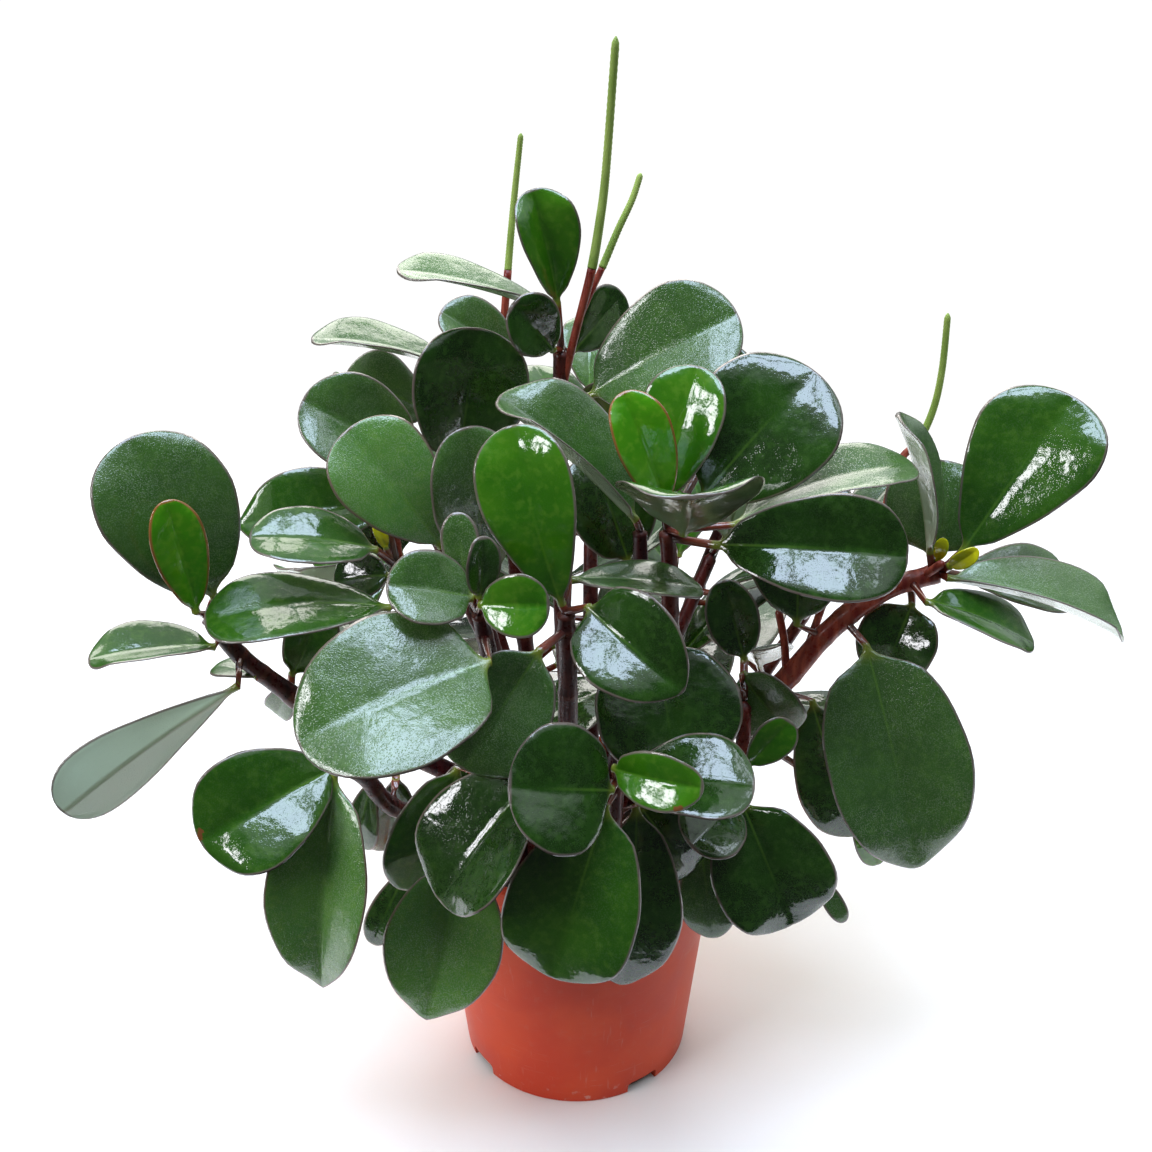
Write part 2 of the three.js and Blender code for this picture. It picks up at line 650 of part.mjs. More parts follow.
for (const [name, stem] of Object.entries(STEMS)) {
  for (const leaf of stem.leaves) {
    leafNumber += 1;
    growLeaf(name, seenForms(leaf, leafNumber));
  }
}
for (const [name, stem] of Object.entries(BACK_STEMS)) {
  for (let order = 0; order < stem.leaves; order++) {
    leafNumber += 1;
    growLeaf(name, backForms(lines[name], stem.leaves, order, leafNumber));
  }
}

const potMaterial = new THREE.MeshStandardMaterial({ color: 0xb04a34, roughness: 0.45, metalness: 0 });
const soilMaterial = new THREE.MeshStandardMaterial({ color: 0x2e211a, roughness: 0.95, metalness: 0 });
const leafMaterial = new THREE.MeshStandardMaterial({ color: 0x2f5a2a, roughness: 0.3, metalness: 0 });
const spikeMaterial = new THREE.MeshStandardMaterial({ color: 0x7fa045, roughness: 0.6, metalness: 0 });

const pottedPlant = new THREE.Group();

function addPiece(name, solid, material) {
  const mesh = new THREE.Mesh(asGeometry(solid), material.clone());
  mesh.name = name;
  pottedPlant.add(mesh);
}

addPiece("pot", pot, potMaterial);
addPiece("soil", soil, soilMaterial);
for (const [name, solids] of Object.entries(plant)) {
  addPiece(name, joined(solids), leafMaterial);
}
for (const [name, solid] of Object.entries(spikes)) addPiece(name, solid, spikeMaterial);

export default pottedPlant;
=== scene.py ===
# %% [markdown]
# # A potted peperomia
# A bushy house plant: thick, waxy, oval leaves on fleshy red stems, thin green
# flower spikes, and a terracotta-coloured plastic nursery pot full of peat mix.
# The packed solids are the frame. They fix where every stem and leaf is. This
# lesson dresses them: each leafy stem, spike, the soil and the pot get a finer
# mesh of the same form, and a finish made of nodes.

import math

import bpy
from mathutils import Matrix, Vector, noise
from mathutils.kdtree import KDTree


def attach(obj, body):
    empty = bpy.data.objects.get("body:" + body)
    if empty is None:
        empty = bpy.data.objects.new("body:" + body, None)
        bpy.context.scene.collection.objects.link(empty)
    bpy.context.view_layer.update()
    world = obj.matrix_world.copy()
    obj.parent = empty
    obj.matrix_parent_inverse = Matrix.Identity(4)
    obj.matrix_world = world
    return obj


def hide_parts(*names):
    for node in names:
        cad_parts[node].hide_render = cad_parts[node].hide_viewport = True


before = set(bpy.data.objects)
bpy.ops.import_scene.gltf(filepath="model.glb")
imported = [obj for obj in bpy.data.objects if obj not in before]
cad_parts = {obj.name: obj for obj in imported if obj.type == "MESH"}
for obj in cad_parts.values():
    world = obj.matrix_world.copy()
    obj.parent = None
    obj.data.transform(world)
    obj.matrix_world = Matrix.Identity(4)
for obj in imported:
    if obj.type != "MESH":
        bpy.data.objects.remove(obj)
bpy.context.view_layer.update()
MM = 0.001
UP = Vector((0, 0, 1))

# %% [markdown]
# ## The camera
# The photograph was taken from a little above, close to the plant, with a normal
# lens. The eye is set at a real height and distance, in mm, and it looks down by
# 21 degrees. A lens of about 36 mm on a 36 mm sensor gives the same perspective.

# %% Put the camera where the eye was
VIEW_BACK = 395.0
VIEW_HEIGHT = 355.0
VIEW_PITCH = math.radians(21)
VIEW_FOCAL_PX = 1155.0
VIEW_CENTRE_PX = 576.0
SENSOR = 36.0
EYE = Vector((0, -VIEW_BACK, VIEW_HEIGHT))

camera_data = bpy.data.cameras.new("camera")
camera_data.sensor_width = SENSOR
camera_data.lens = SENSOR * VIEW_FOCAL_PX / (2 * VIEW_CENTRE_PX)
camera_data.clip_start = 0.01
camera = bpy.data.objects.new("camera", camera_data)
camera.location = EYE * MM
camera.rotation_euler = (math.radians(90) - VIEW_PITCH, 0, 0)
bpy.context.scene.collection.objects.link(camera)
bpy.context.scene.camera = camera
bpy.context.scene.view_settings.view_transform = "Standard"
print("lens", round(camera_data.lens, 2), "mm")

# %% [markdown]
# ## Colours and wiring
# Blender's nodes are joined by links, and a socket without a link keeps a plain
# value. One small class hides the difference, so that a recipe can hand on either.
# Colours are written as the eye sees them and turned into light values once.


# %% Paint, and wires between nodes
def paint(code):
    """A colour as the eye sees it, turned into the light value that a shader needs."""
    parts = [int(code[k : k + 2], 16) / 255 for k in (1, 3, 5)]
    return [p / 12.92 if p <= 0.04045 else ((p + 0.055) / 1.055) ** 2.4 for p in parts] + [1.0]


class Wires:
    """The nodes of one tree, and the links between them."""

    def __init__(self, tree):
        self.tree = tree

    def feed(self, socket, value):
        """Link the socket to another one, or give it a plain value."""
        if isinstance(value, bpy.types.NodeSocket):
            self.tree.links.new(value, socket)
        else:
            socket.default_value = value

    def feed_all(self, node, links):
        for socket, value in links.items():
            self.feed(node.inputs[socket.replace("_", " ")], value)

    def node(self, kind, **links):
        made = self.tree.nodes.new(kind)
        self.feed_all(made, links)
        return made

    def fade(self, value, start, end, low=0.0, high=1.0):
        """From low to high, softly, while the value goes from start to end."""
        made = self.node("ShaderNodeMapRange")
        made.interpolation_type = "SMOOTHSTEP"
        for socket, given in zip(made.inputs, (value, start, end, low, high)):
            self.feed(socket, given)
        return made.outputs["Result"]

    def math(self, operation, one, other):
        made = self.node("ShaderNodeMath")
        made.operation = operation
        for socket, given in zip(made.inputs, (one, other)):
            self.feed(socket, given)
        return made.outputs["Value"]

    def times(self, one, other):
        return self.math("MULTIPLY", one, other)

    def plus(self, one, other):
        return self.math("ADD", one, other)


print("the eye's middle grey is", round(paint("#808080")[0], 3), "as light")

# %% [markdown]
# ## What a finish is made of
# Every finish below is built from a few kinds of node: noise, spots, marks that
# the mesh carries, a mix of two colours and a bump. They could be wired by hand
# for each material. A class of recipe words keeps each finish short and readable.


# %% Words for a finish
class Finish(Wires):
    """One material: a glossy or matt coat over a colour that nodes vary. Sizes are in mm."""

    def __init__(self, name, **settings):
        self.material = bpy.data.materials.new(name)
        self.material.use_nodes = True
        super().__init__(self.material.node_tree)
        self.coat = self.tree.nodes["Principled BSDF"]
        self.feed_all(self.coat, settings)
        self.place = self.node("ShaderNodeTexCoord").outputs["Object"]

    def mark(self, name):
        """A value that each corner of the mesh carries."""
        made = self.node("ShaderNodeAttribute")
        made.attribute_name = name
        return made.outputs["Fac"]

    def stretched(self, along):
        """Places for a grain that is drawn out into streaks."""
        return self.node("ShaderNodeMapping", Vector=self.place, Scale=along).outputs["Vector"]

    def grain(self, size_mm, detail=3.0, place=None):
        place = self.place if place is None else place
        made = self.node("ShaderNodeTexNoise", Vector=place, Scale=1 / (size_mm * MM), Detail=detail)
        return made.outputs["Fac"]

    def spots(self, size_mm):
        made = self.node("ShaderNodeTexVoronoi", Vector=self.place, Scale=1 / (size_mm * MM))
        return made.outputs["Distance"]

    def mix(self, share, one, other):
        """A share of the other colour in the one."""
        made = self.node("ShaderNodeMix")
        made.data_type = "RGBA"
        self.feed(made.inputs[0], share)
        for socket, colour in ((made.inputs[6], one), (made.inputs[7], other)):
            self.feed(socket, paint(colour) if isinstance(colour, str) else colour)
        return made.outputs[2]

    def bump(self, height, deep_mm, strength=1.0, under=None):
        made = self.node("ShaderNodeBump", Height=height, Strength=strength, Distance=deep_mm * MM)
        if under is not None:
            self.feed(made.inputs["Normal"], under)
        return made.outputs["Normal"]

    def wear(self, **links):
        """The finished material, with these links on its coat."""
        self.feed_all(self.coat, links)
        return self.material


print("words for a finish:", *[word for word in vars(Finish) if not word.startswith("_")])

# %% [markdown]
# ## The windows
# Thick waxy leaves are seen mostly by what they mirror, so the light comes from
# large soft windows. The one on the left is the strongest: the pot is brighter on
# that side and its shadow falls to the right. One high up gives the bluish glare
# on leaves that face up, and two weaker ones light the right side and the back.
# The gaps between the panes break up the glare, as in a real window. One lamp
# would leave only a small hard spark on each leaf.

# %% Soft windows around the plant
PANE_GAP = 0.09
WINDOW_DISTANCE = 1.9
PLANT_MIDDLE = Vector((0, 0, 0.2))
WINDOWS = {
    "left_window": (-122, 27, (0.8, 0.8), (2, 2), 13.0, "#fbfaff"),
    "high_window": (-170, 76, (1.45, 1.2), (2, 2), 9.0, "#cfe3ff"),
    "right_window": (104, 56, (0.8, 0.6), (2, 2), 3.0, "#e2edff"),
    "back_glow": (-16, 46, (2.2, 1.1), (2, 1), 4.2, "#fffaf4"),
}


def add_window(name, azimuth, elevation, size, panes, radiance, colour):
    """Soft panes that face the plant. Azimuth is measured from behind it, to the right."""
    turn, rise = math.radians(azimuth), math.radians(elevation)
    way = Vector((math.sin(turn) * math.cos(rise), math.cos(turn) * math.cos(rise), math.sin(rise)))
    facing = way.to_track_quat("Z", "Y")
    across, up = facing @ Vector((1, 0, 0)), facing @ Vector((0, 1, 0))
    columns, rows = panes
    wide, high = size[0] / columns, size[1] / rows
    for column in range(columns):
        for row in range(rows):
            data = bpy.data.lights.new(name, "AREA")
            data.shape = "RECTANGLE"
            data.size, data.size_y = wide - PANE_GAP, high - PANE_GAP
            data.energy = math.pi * data.size * data.size_y * radiance
            data.color = paint(colour)[:3]
            made = bpy.data.objects.new(f"{name}_{column}_{row}", data)
            aside, above = column - (columns - 1) / 2, row - (rows - 1) / 2
            shift = across * wide * aside + up * high * above
            made.location = PLANT_MIDDLE + way * WINDOW_DISTANCE + shift
            made.rotation_euler = facing.to_euler()
            bpy.context.scene.collection.objects.link(made)


for name, reading in WINDOWS.items():
    add_window(name, *reading)

# %% [markdown]
# ## The room that the leaves mirror
# The sky over the plant is bright and lights its shadows. The room low down in
# front is dark, and keeps the leaves that face the viewer deep green. Instead of
# building walls, the world's strength fades from one to the other along a tilted
# height. The camera itself sees plain white behind the plant.

# %% A sky that fades to a dark room
SKY_TILT = {"X": 0.18, "Y": 0.35, "Z": 0.92}
SKY_EDGE, SKY_GLOW = (0.35, 0.6), (0.05, 0.82)
SKY_COLOUR = "#eaf3f4"
BACKDROP_STRENGTH = 1.05

world = bpy.data.worlds.new("pale_room")
bpy.context.scene.world = world
world.use_nodes = True
room = Wires(world.node_tree)
look = room.node("ShaderNodeTexCoord").outputs["Generated"]
parts = room.node("ShaderNodeSeparateXYZ", Vector=look).outputs
across_back_up = [room.times(parts[axis], share) for axis, share in SKY_TILT.items()]
sky_height = room.plus(room.plus(across_back_up[0], across_back_up[1]), across_back_up[2])
sky = room.tree.nodes["Background"]
room.feed(sky.inputs["Color"], paint(SKY_COLOUR))
room.feed(sky.inputs["Strength"], room.fade(sky_height, *SKY_EDGE, *SKY_GLOW))
backdrop = room.node("ShaderNodeBackground", Color=(1, 1, 1, 1), Strength=BACKDROP_STRENGTH)
seen_directly = room.node("ShaderNodeLightPath").outputs["Is Camera Ray"]
choose = room.node("ShaderNodeMixShader")
for socket, link in zip(choose.inputs, (seen_directly, sky.outputs[0], backdrop.outputs[0])):
    room.feed(socket, link)
room.feed(room.tree.nodes["World Output"].inputs["Surface"], choose.outputs[0])
print("the sky's strength goes from", SKY_GLOW[0], "to", SKY_GLOW[1])

# %% [markdown]
# ## The floor
# A plain, pale, matt floor takes the soft shadow. It ends 15 cm in front of the
# pot's axis, outside the picture, because a floor that went on would shine in the
# low leaves, which mirror the dark room there. It is part of the stage and not of
# the plant.

# %% A pale floor
FLOOR_SIDE, FLOOR_FRONT, FLOOR_BACK = 1.0, 0.15, 1.0
FLOOR_WHITE = "#fbf7f3"
floor_mesh = bpy.data.meshes.new("floor")
floor_corners = [
    (-FLOOR_SIDE, -FLOOR_FRONT, 0), (FLOOR_SIDE, -FLOOR_FRONT, 0),
    (FLOOR_SIDE, FLOOR_BACK, 0), (-FLOOR_SIDE, FLOOR_BACK, 0),
]
floor_mesh.from_pydata(floor_corners, [], [(0, 1, 2, 3)])
floor = bpy.data.objects.new("floor", floor_mesh)
bpy.context.scene.collection.objects.link(floor)
floor_finish = Finish("pale_floor", Roughness=0.9, Specular_IOR_Level=0.1)
floor_mesh.materials.append(floor_finish.wear(Base_Color=paint(FLOOR_WHITE)))
print("floor is", 2 * FLOOR_SIDE, "m wide")

# %% [markdown]
# ## Meshes from rings
# A stem, a leaf and a spike are all a row of rings with the same number of
# points, skinned over and closed at both ends. Building them in plain lists is
# quick, and each corner can carry marks, such as its distance from the leaf's
# margin, that the finishes read later. A modifier would not know these.


# %% Skin a row of rings
class Skin:
    """Corners, faces and marks that become one mesh."""

    def __init__(self):
        self.corners, self.faces, self.marks = [], [], {}

    def mark(self, **values):
        """The marks of the next corner."""
        for name, value in values.items():
            self.marks.setdefault(name, []).append(value)

    def tube(self, rings):
        """Skin over a row of rings and close both ends."""
        first, sides = len(self.corners), len(rings[0])
        for ring in rings:
            self.corners.extend(ring)
        for r in range(len(rings) - 1):
            for s in range(sides):
                here = first + r * sides + s
                beside = first + r * sides + (s + 1) % sides
                self.faces.append((here, beside, beside + sides, here + sides))
        last = first + (len(rings) - 1) * sides
        self.faces.append(tuple(range(first + sides - 1, first - 1, -1)))
        self.faces.append(tuple(range(last, last + sides)))

    def piece(self, name, finish, slot, nodes):
        """The mesh as an object of the part, which stands in for some of the solids."""
        mesh = bpy.data.meshes.new(name)
        mesh.from_pydata([tuple(c * MM) for c in self.corners], [], self.faces)
        for mark_name, values in self.marks.items():
            attribute = mesh.attributes.new(mark_name, "FLOAT", "POINT")
            attribute.data.foreach_set("value", values)
        mesh.polygons.foreach_set("use_smooth", [True] * len(mesh.polygons))
        mesh.materials.append(finish)
        made = bpy.data.objects.new(name, mesh)
        bpy.context.scene.collection.objects.link(made)
        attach(made, "root")
        if nodes:
            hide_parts(*nodes)
        return made


print("a skin has", *vars(Skin()))

# %% [markdown]
# ## From the picture to a point
# The solids were laid out from places in the picture: how far across, how far
# down, and how many millimetres behind the pot's axis. The same readings are
# repeated here, so that the finer leaf lies exactly where its plain solid does.
# Each place is sent out from the eye until it is as far back as it should be.


# %% A place that the eye sees
def seen(place):
    """The point in mm that the eye sees at a place in the picture, at that depth."""
    across, down, depth = place
    right = (across - VIEW_CENTRE_PX) / VIEW_FOCAL_PX
    rise = (VIEW_CENTRE_PX - down) / VIEW_FOCAL_PX
    ahead = math.cos(VIEW_PITCH) + rise * math.sin(VIEW_PITCH)
    climb = rise * math.cos(VIEW_PITCH) - math.sin(VIEW_PITCH)
    reach = (depth + VIEW_BACK) / ahead
    return Vector((right * reach, depth, VIEW_HEIGHT + climb * reach))


print("pot's foot in front is seen at", seen((576, 1100, -46)))

# %% [markdown]
# ## The seen stems and their leaves
# A stem is its foot on the soil, the places that it passes in the picture and its
# radius below and above. A leaf is its start, its tip, its width in mm and how far
# its face turns from the viewer in degrees. Where they are unusual, three more
# numbers follow: how spoon-shaped it is, how blunt or sharp, and how much further
# it is folded along its middle. First come the five stems at the top and in front.

# %% Stems at the top and in front
STEMS = {
    "stem_top": {
        "foot": (0, 6), "path": [(562, 600, 6), (560, 470, 8), (561, 350, 8)], "thick": (4.4, 2.6),
        "leaves": [
            [(557, 303, 6), (531, 189, 0), 26, 24, 0.7, 0.5, 0.35],
            [(556, 312, 2), (397, 272, -18), 27, 74],
            [(553, 350, 0), (512, 304, -6), 22, 25],
            [(572, 352, 14), (622, 292, 24), 20, 20],
            [(590, 396, 4), (738, 314, -2), 42, -22, 0.4],
        ],
    },
    "stem_upper_left": {
        "foot": (-14, 20), "path": [(520, 600, 24), (508, 480, 26), (502, 392, 26)],
        "thick": (4.0, 2.5),
        "leaves": [
            [(460, 372, 22), (311, 341, 8), 32, 72],
            [(518, 374, 32), (440, 312, 26), 26, 35],
            [(430, 415, 24), (345, 376, 18), 30, 30],
        ],
    },
    "stem_left_front": {
        "foot": (-16, -6), "path": [(490, 640, -6), (462, 560, -4), (452, 482, 0)],
        "thick": (4.2, 2.6),
        "leaves": [
            [(456, 462, -8), (472, 327, -12), 43, 5, 0.3],
            [(415, 468, -6), (302, 400, -20), 36, 18, 0.3],
            [(441, 547, -26), (346, 430, -34), 36, 10, 0.9],
            [(480, 560, -14), (464, 427, -18), 35, -10, 0.3],
        ],
    },
    "stem_middle": {
        "foot": (-2, -30), "path": [(568, 720, -55), (568, 660, -62), (566, 612, -66)],
        "thick": (4.0, 2.6),
        "leaves": [
            [(562, 604, -66), (512, 425, -62), 31, -12, 0.75],
            [(588, 607, -72), (684, 692, -92), 34, 5, 0.1, 0.7],
            [(572, 580, -60), (703, 591, -58), 27, -65],
            [(540, 650, -75), (462, 768, -82), 36, 12, 0.2],
        ],
    },
    "stem_near_left": {
        "foot": (-20, -24), "path": [(500, 720, -58), (490, 660, -72), (479, 612, -76)],
        "thick": (3.8, 2.4),
        "leaves": [
            [(472, 598, -80), (386, 585, -88), 25, 20, 0.1],
            [(468, 592, -76), (457, 512, -74), 12, 0],
            [(479, 596, -80), (482, 536, -84), 12, 20, 0.3, 0.5, 0.15],
            [(480, 605, -82), (550, 605, -88), 20, -10, 0.3],
            [(490, 662, -90), (298, 744, -114), 50, 24, 0, 0.5, -0.22],
        ],
    },
}
print(*STEMS)

# %% [markdown]
# Next come the stems in the middle and those that reach far out to the sides. The
# one on the right is the thickest and the one that is best seen.

# %% Stems in the middle and at the sides
STEMS |= {
    "stem_centre_right": {
        "foot": (14, -14), "path": [(664, 680, -34), (670, 590, -40), (667, 530, -42)],
        "thick": (4.0, 2.6),
        "leaves": [
            [(664, 506, -44), (622, 392, -48), 22, 15, 0.5, 0.5, 0.3],
            [(665, 500, -36), (698, 366, -30), 29, -15, 0.6],
            [(715, 440, -12), (733, 346, -4), 19, 10],
            [(702, 498, -36), (816, 372, -30), 47, 5, 0.35],
            [(684, 534, -50), (694, 497, -88), 46, 180, 0.3],
            [(735, 525, -42), (916, 468, -36), 33, -72],
            [(715, 545, -52), (908, 556, -62), 36, -8, 0.5],
            [(655, 640, -46), (676, 776, -70), 50, -10, 0.1],
        ],
    },
    "stem_centre": {
        "foot": (8, -22), "path": [(634, 690, -34), (640, 590, -38), (640, 530, -40)],
        "thick": (3.6, 2.4),
        "leaves": [
            [(636, 520, -42), (496, 400, -44), 40, 58, 0.3, 0.5, 0.4],
            [(628, 562, -26), (590, 452, -20), 34, 10, 0.3],
        ],
    },
    "stem_right": {
        "foot": (30, -4), "path": [(775, 690, -15), (830, 630, -17), (882, 592, -19), (940, 572, -20)],
        "thick": (4.6, 3.4),
        "leaves": [
            [(962, 552, -20), (1073, 396, -16), 44, -5, 0.85, 0.5, 0.1],
            [(930, 552, -22), (897, 414, -22), 34, 54, 0.3, 0.5, 0.2],
            [(930, 556, -8), (944, 460, 2), 42, 10, 0.2],
            [(947, 578, -28), (1122, 636, -34), 34, -60, 0.5, 0.5, 0.2],
            [(926, 602, -36), (1034, 646, -44), 28, -32, 0.2],
            [(960, 575, -10), (1072, 590, -6), 30, -35],
            [(912, 604, -14), (882, 678, -20), 30, 0, 0],
            [(866, 645, -26), (917, 868, -46), 53, -8, 0.15, 0.68, 0.2],
            [(812, 700, -6), (858, 835, -12), 32, 10, 0.3],
            [(797, 625, -20), (802, 470, -8), 42, 0],
            [(850, 800, 6), (877, 865, 4), 12, 0],
        ],
    },
    "stem_far_left": {
        "foot": (-30, -6), "path": [(330, 720, -24), (285, 690, -30), (240, 655, -36), (208, 616, -40)],
        "thick": (4.2, 2.8),
        "leaves": [
            [(214, 597, -40), (128, 438, -46), 44, 8, 0.45],
            [(196, 612, -52), (166, 500, -58), 18, 10],
            [(215, 647, -46), (88, 662, -60), 28, 60, 0.3],
            [(238, 686, -52), (62, 812, -72), 28, 150, 1.4],
            [(258, 677, -36), (214, 667, -42), 12, 20],
            [(292, 674, -20), (325, 607, -12), 20, 10, 0.2],
            [(292, 686, -24), (277, 714, -26), 13, 10, 0.2],
        ],
    },
    "stem_left": {
        "foot": (-24, 4), "path": [(450, 660, -14), (410, 610, -26), (396, 566, -30)],
        "thick": (3.8, 2.4),
        "leaves": [
            [(376, 550, -38), (249, 538, -48), 26, 42, 0.3],
            [(388, 505, -16), (238, 526, -24), 32, 25, 0.4, 0.8],
            [(400, 555, -14), (365, 492, -8), 22, 10, 0.2],
            [(390, 608, -38), (204, 622, -56), 34, 48, 0.6],
            [(390, 576, -22), (334, 582, -16), 20, 20, 0.2],
        ],
    },
}
print(len(STEMS), "stems so far")

# %% [markdown]
# The low stems lean out over the rim of the pot, and their leaves hang in front of
# it. They hide the rim nearly all the way round.

# %% Low stems
STEMS |= {
    "stem_low_left": {
        "foot": (-30, -28), "path": [(400, 810, -62), (365, 778, -72), (341, 766, -76)],
        "thick": (3.6, 2.4),
        "leaves": [
            [(336, 768, -78), (200, 842, -98), 38, 5, 0.5, 0.55],
            [(334, 774, -80), (323, 988, -92), 39, 15, 0.3, 0.95, 0.25],
            [(372, 780, -64), (362, 848, -60), 13, 20],
            [(396, 776, -56), (386, 850, -54), 20, 10],
        ],
    },
    "stem_low_front": {
        "foot": (-14, -38), "path": [(520, 830, -72), (512, 800, -78), (510, 780, -80)],
        "thick": (3.4, 2.4),
        "leaves": [
            [(534, 778, -86), (440, 901, -102), 43, 5, 0.2],
            [(464, 858, -74), (426, 1020, -86), 41, 0, 0.25, 0.85, 0.2],
            [(458, 768, -68), (402, 890, -78), 29, 5, 0.2, 0.6],
            [(412, 862, -56), (372, 944, -58), 13, 10],
            [(508, 758, -52), (446, 820, -58), 28, 15, 0.2],
        ],
    },
    "stem_low_middle": {
        "foot": (6, -42), "path": [(608, 860, -74), (614, 820, -82), (616, 780, -84)],
        "thick": (3.6, 2.5),
        "leaves": [
            [(612, 790, -92), (508, 788, -106), 40, 0, 0.1],
            [(606, 804, -92), (552, 977, -98), 44, 0, 0.25],
            [(636, 805, -78), (624, 985, -78), 34, 0, 0.4, 0.75],
            [(614, 768, -90), (704, 788, -106), 19, 15, 0.2],
            [(622, 780, -80), (755, 786, -88), 32, -30],
            [(640, 806, -66), (690, 872, -62), 28, 0, 0.2],
        ],
    },
    "stem_low_right": {
        "foot": (28, -28), "path": [(720, 850, -46), (738, 820, -50), (742, 790, -50), (744, 700, -40)],
        "thick": (3.8, 2.5),
        "leaves": [
            [(742, 802, -58), (792, 924, -68), 43, 0, 0.1],
            [(700, 842, -56), (713, 938, -62), 21, 0, 0.3, 0.6],
            [(742, 672, -34), (794, 730, -40), 28, 5, 0.2],
            [(748, 765, -54), (790, 720, -56), 15, 20],
            [(744, 658, -28), (722, 580, -26), 20, 0, 0.2],
            [(812, 868, -40), (845, 922, -44), 8, 0],
            [(734, 802, -58), (690, 846, -62), 26, 0, 0.3],
        ],
    },
}
print(sum(len(stem["leaves"]) for stem in STEMS.values()), "seen leaves on", len(STEMS), "stems")

# %% [markdown]
# ## The shoots behind
# What grows behind and in the middle isn't seen well enough to read leaf by leaf.
# These shoots have only a foot, a top and a number of leaves, and their leaves
# follow one growth rule. That fills the plant from every side with little to type.

# %% Shoots with leaves by rule
BACK_STEMS = {
    "stem_back": {"foot": (6, 24), "top": (6, 78, 244), "thick": (4.2, 2.6), "leaves": 8},
    "stem_back_left": {"foot": (-18, 34), "top": (-70, 64, 222), "thick": (4.0, 2.6), "leaves": 8},
    "stem_back_right": {"foot": (22, 26), "top": (64, 58, 214), "thick": (4.0, 2.6), "leaves": 8},
    "stem_side_right": {"foot": (36, 12), "top": (104, 52, 180), "thick": (3.8, 2.5), "leaves": 7},
    "stem_side_left": {"foot": (-36, 16), "top": (-108, 44, 172), "thick": (3.8, 2.5), "leaves": 7},
    "stem_rear_left": {"foot": (-8, 42), "top": (-38, 122, 184), "thick": (3.8, 2.5), "leaves": 8},
    "stem_rear_right": {"foot": (16, 40), "top": (46, 120, 174), "thick": (3.8, 2.5), "leaves": 8},
    "stem_inner_left": {"foot": (-13, 8), "top": (-44, 26, 216), "thick": (3.6, 2.4), "leaves": 6},
    "stem_inner_right": {"foot": (14, 8), "top": (52, 18, 206), "thick": (3.6, 2.4), "leaves": 6},
}
print(len(BACK_STEMS), "shoots by rule")

# %% [markdown]
# ## Where the flower spikes are
# Each spike is read from the picture as well: the stem that it grows from, its red
# stalk, then the green spike itself. Its three radii are those of the stalk, of
# the spike's start and of its end.

# %% Spikes and their stalks
SPIKES = {
    "spike_tall": {
        "on": "stem_top", "stalk": [(563, 385, 8), (575, 335, 6), (583, 305, 5), (592, 268, 4)],
        "spike": [(592, 268, 4), (600, 220, 3), (606, 170, 2), (616, 36, -4)],
        "thick": (1.5, 1.65, 1.25),
    },
    "spike_side": {
        "on": "stem_top", "stalk": [(577, 325, 5), (590, 294, 9), (602, 268, 12)],
        "spike": [(602, 268, 12), (618, 230, 14), (632, 200, 15), (641, 173, 16)],
        "thick": (1.2, 1.35, 1.05),
    },
    "spike_back": {
        "on": "stem_upper_left", "stalk": [(503, 396, 26), (503, 340, 34), (508, 270, 36)],
        "spike": [(508, 270, 36), (514, 200, 36), (521, 133, 34)], "thick": (1.4, 1.35, 1.0),
    },
    "spike_right": {
        "on": "stem_right", "stalk": [(890, 588, -19), (884, 520, 6), (900, 462, 14), (918, 442, 14)],
        "spike": [(918, 442, 14), (933, 410, 14), (942, 370, 12), (948, 313, 10)],
        "thick": (1.4, 1.4, 1.1),
    },
}
print(len(SPIKES), "spikes, on", *sorted({spike["on"] for spike in SPIKES.values()}))

# %% [markdown]
# ## The middle line of each stem
# A stem leaves the soil upright and then bends its own way. A smooth curve
# through a few points follows that better than straight pieces. It is the same
# curve as in the solids, only read at more places.

# %% Curves through the stems
SOIL_TOP = 93.0
STEM_COLLAR = 3.0
STEM_STRAIGHT = 24.0
STEM_LEAN = 0.15
KNEE_ACROSS, KNEE_UP = 0.4, 0.72
SEATS_IN_A_SPAN = 8


def through(points, count):
    """count + 1 points of a smooth curve through the given ones."""
    ends = [2 * points[0] - points[1], *points, 2 * points[-1] - points[-2]]
    spans, line = len(points) - 1, []
    for k in range(count + 1):
        way = k / count * spans
        span = min(int(way), spans - 1)
        t = way - span
        a, b, c, d = ends[span : span + 4]
        start, end = 0.5 * (c - a), 0.5 * (d - b)
        bend = 3 * (c - b) - 2 * start - end
        rest = 2 * (b - c) + start + end
        line.append(b + start * t + bend * t**2 + rest * t**3)
    return line


def stem_points(foot, way):
    """The way of a stem, with its upright start over the soil."""
    collar = Vector((foot[0], foot[1], SOIL_TOP + STEM_COLLAR))
    lean = (way[0] - collar) * STEM_LEAN
    lean.z = 0
    return [collar, collar + lean + UP * STEM_STRAIGHT, *way]


stem_ways = {}
for name, stem in STEMS.items():
    stem_ways[name] = stem_points(stem["foot"], [seen(p) for p in stem["path"]])
for name, stem in BACK_STEMS.items():
    foot, top = stem["foot"], Vector(stem["top"])
    knee = [a * (1 - KNEE_ACROSS) + b * KNEE_ACROSS for a, b in zip(foot, top)]
    stem_ways[name] = stem_points(foot, [Vector((*knee, top.z * KNEE_UP)), top])
ALL_STEMS = {**STEMS, **BACK_STEMS}
stem_lines = {name: through(way, SEATS_IN_A_SPAN * (len(way) - 1)) for name, way in stem_ways.items()}
print("highest stem ends at", round(max(line[-1].z for line in stem_lines.values())), "mm")

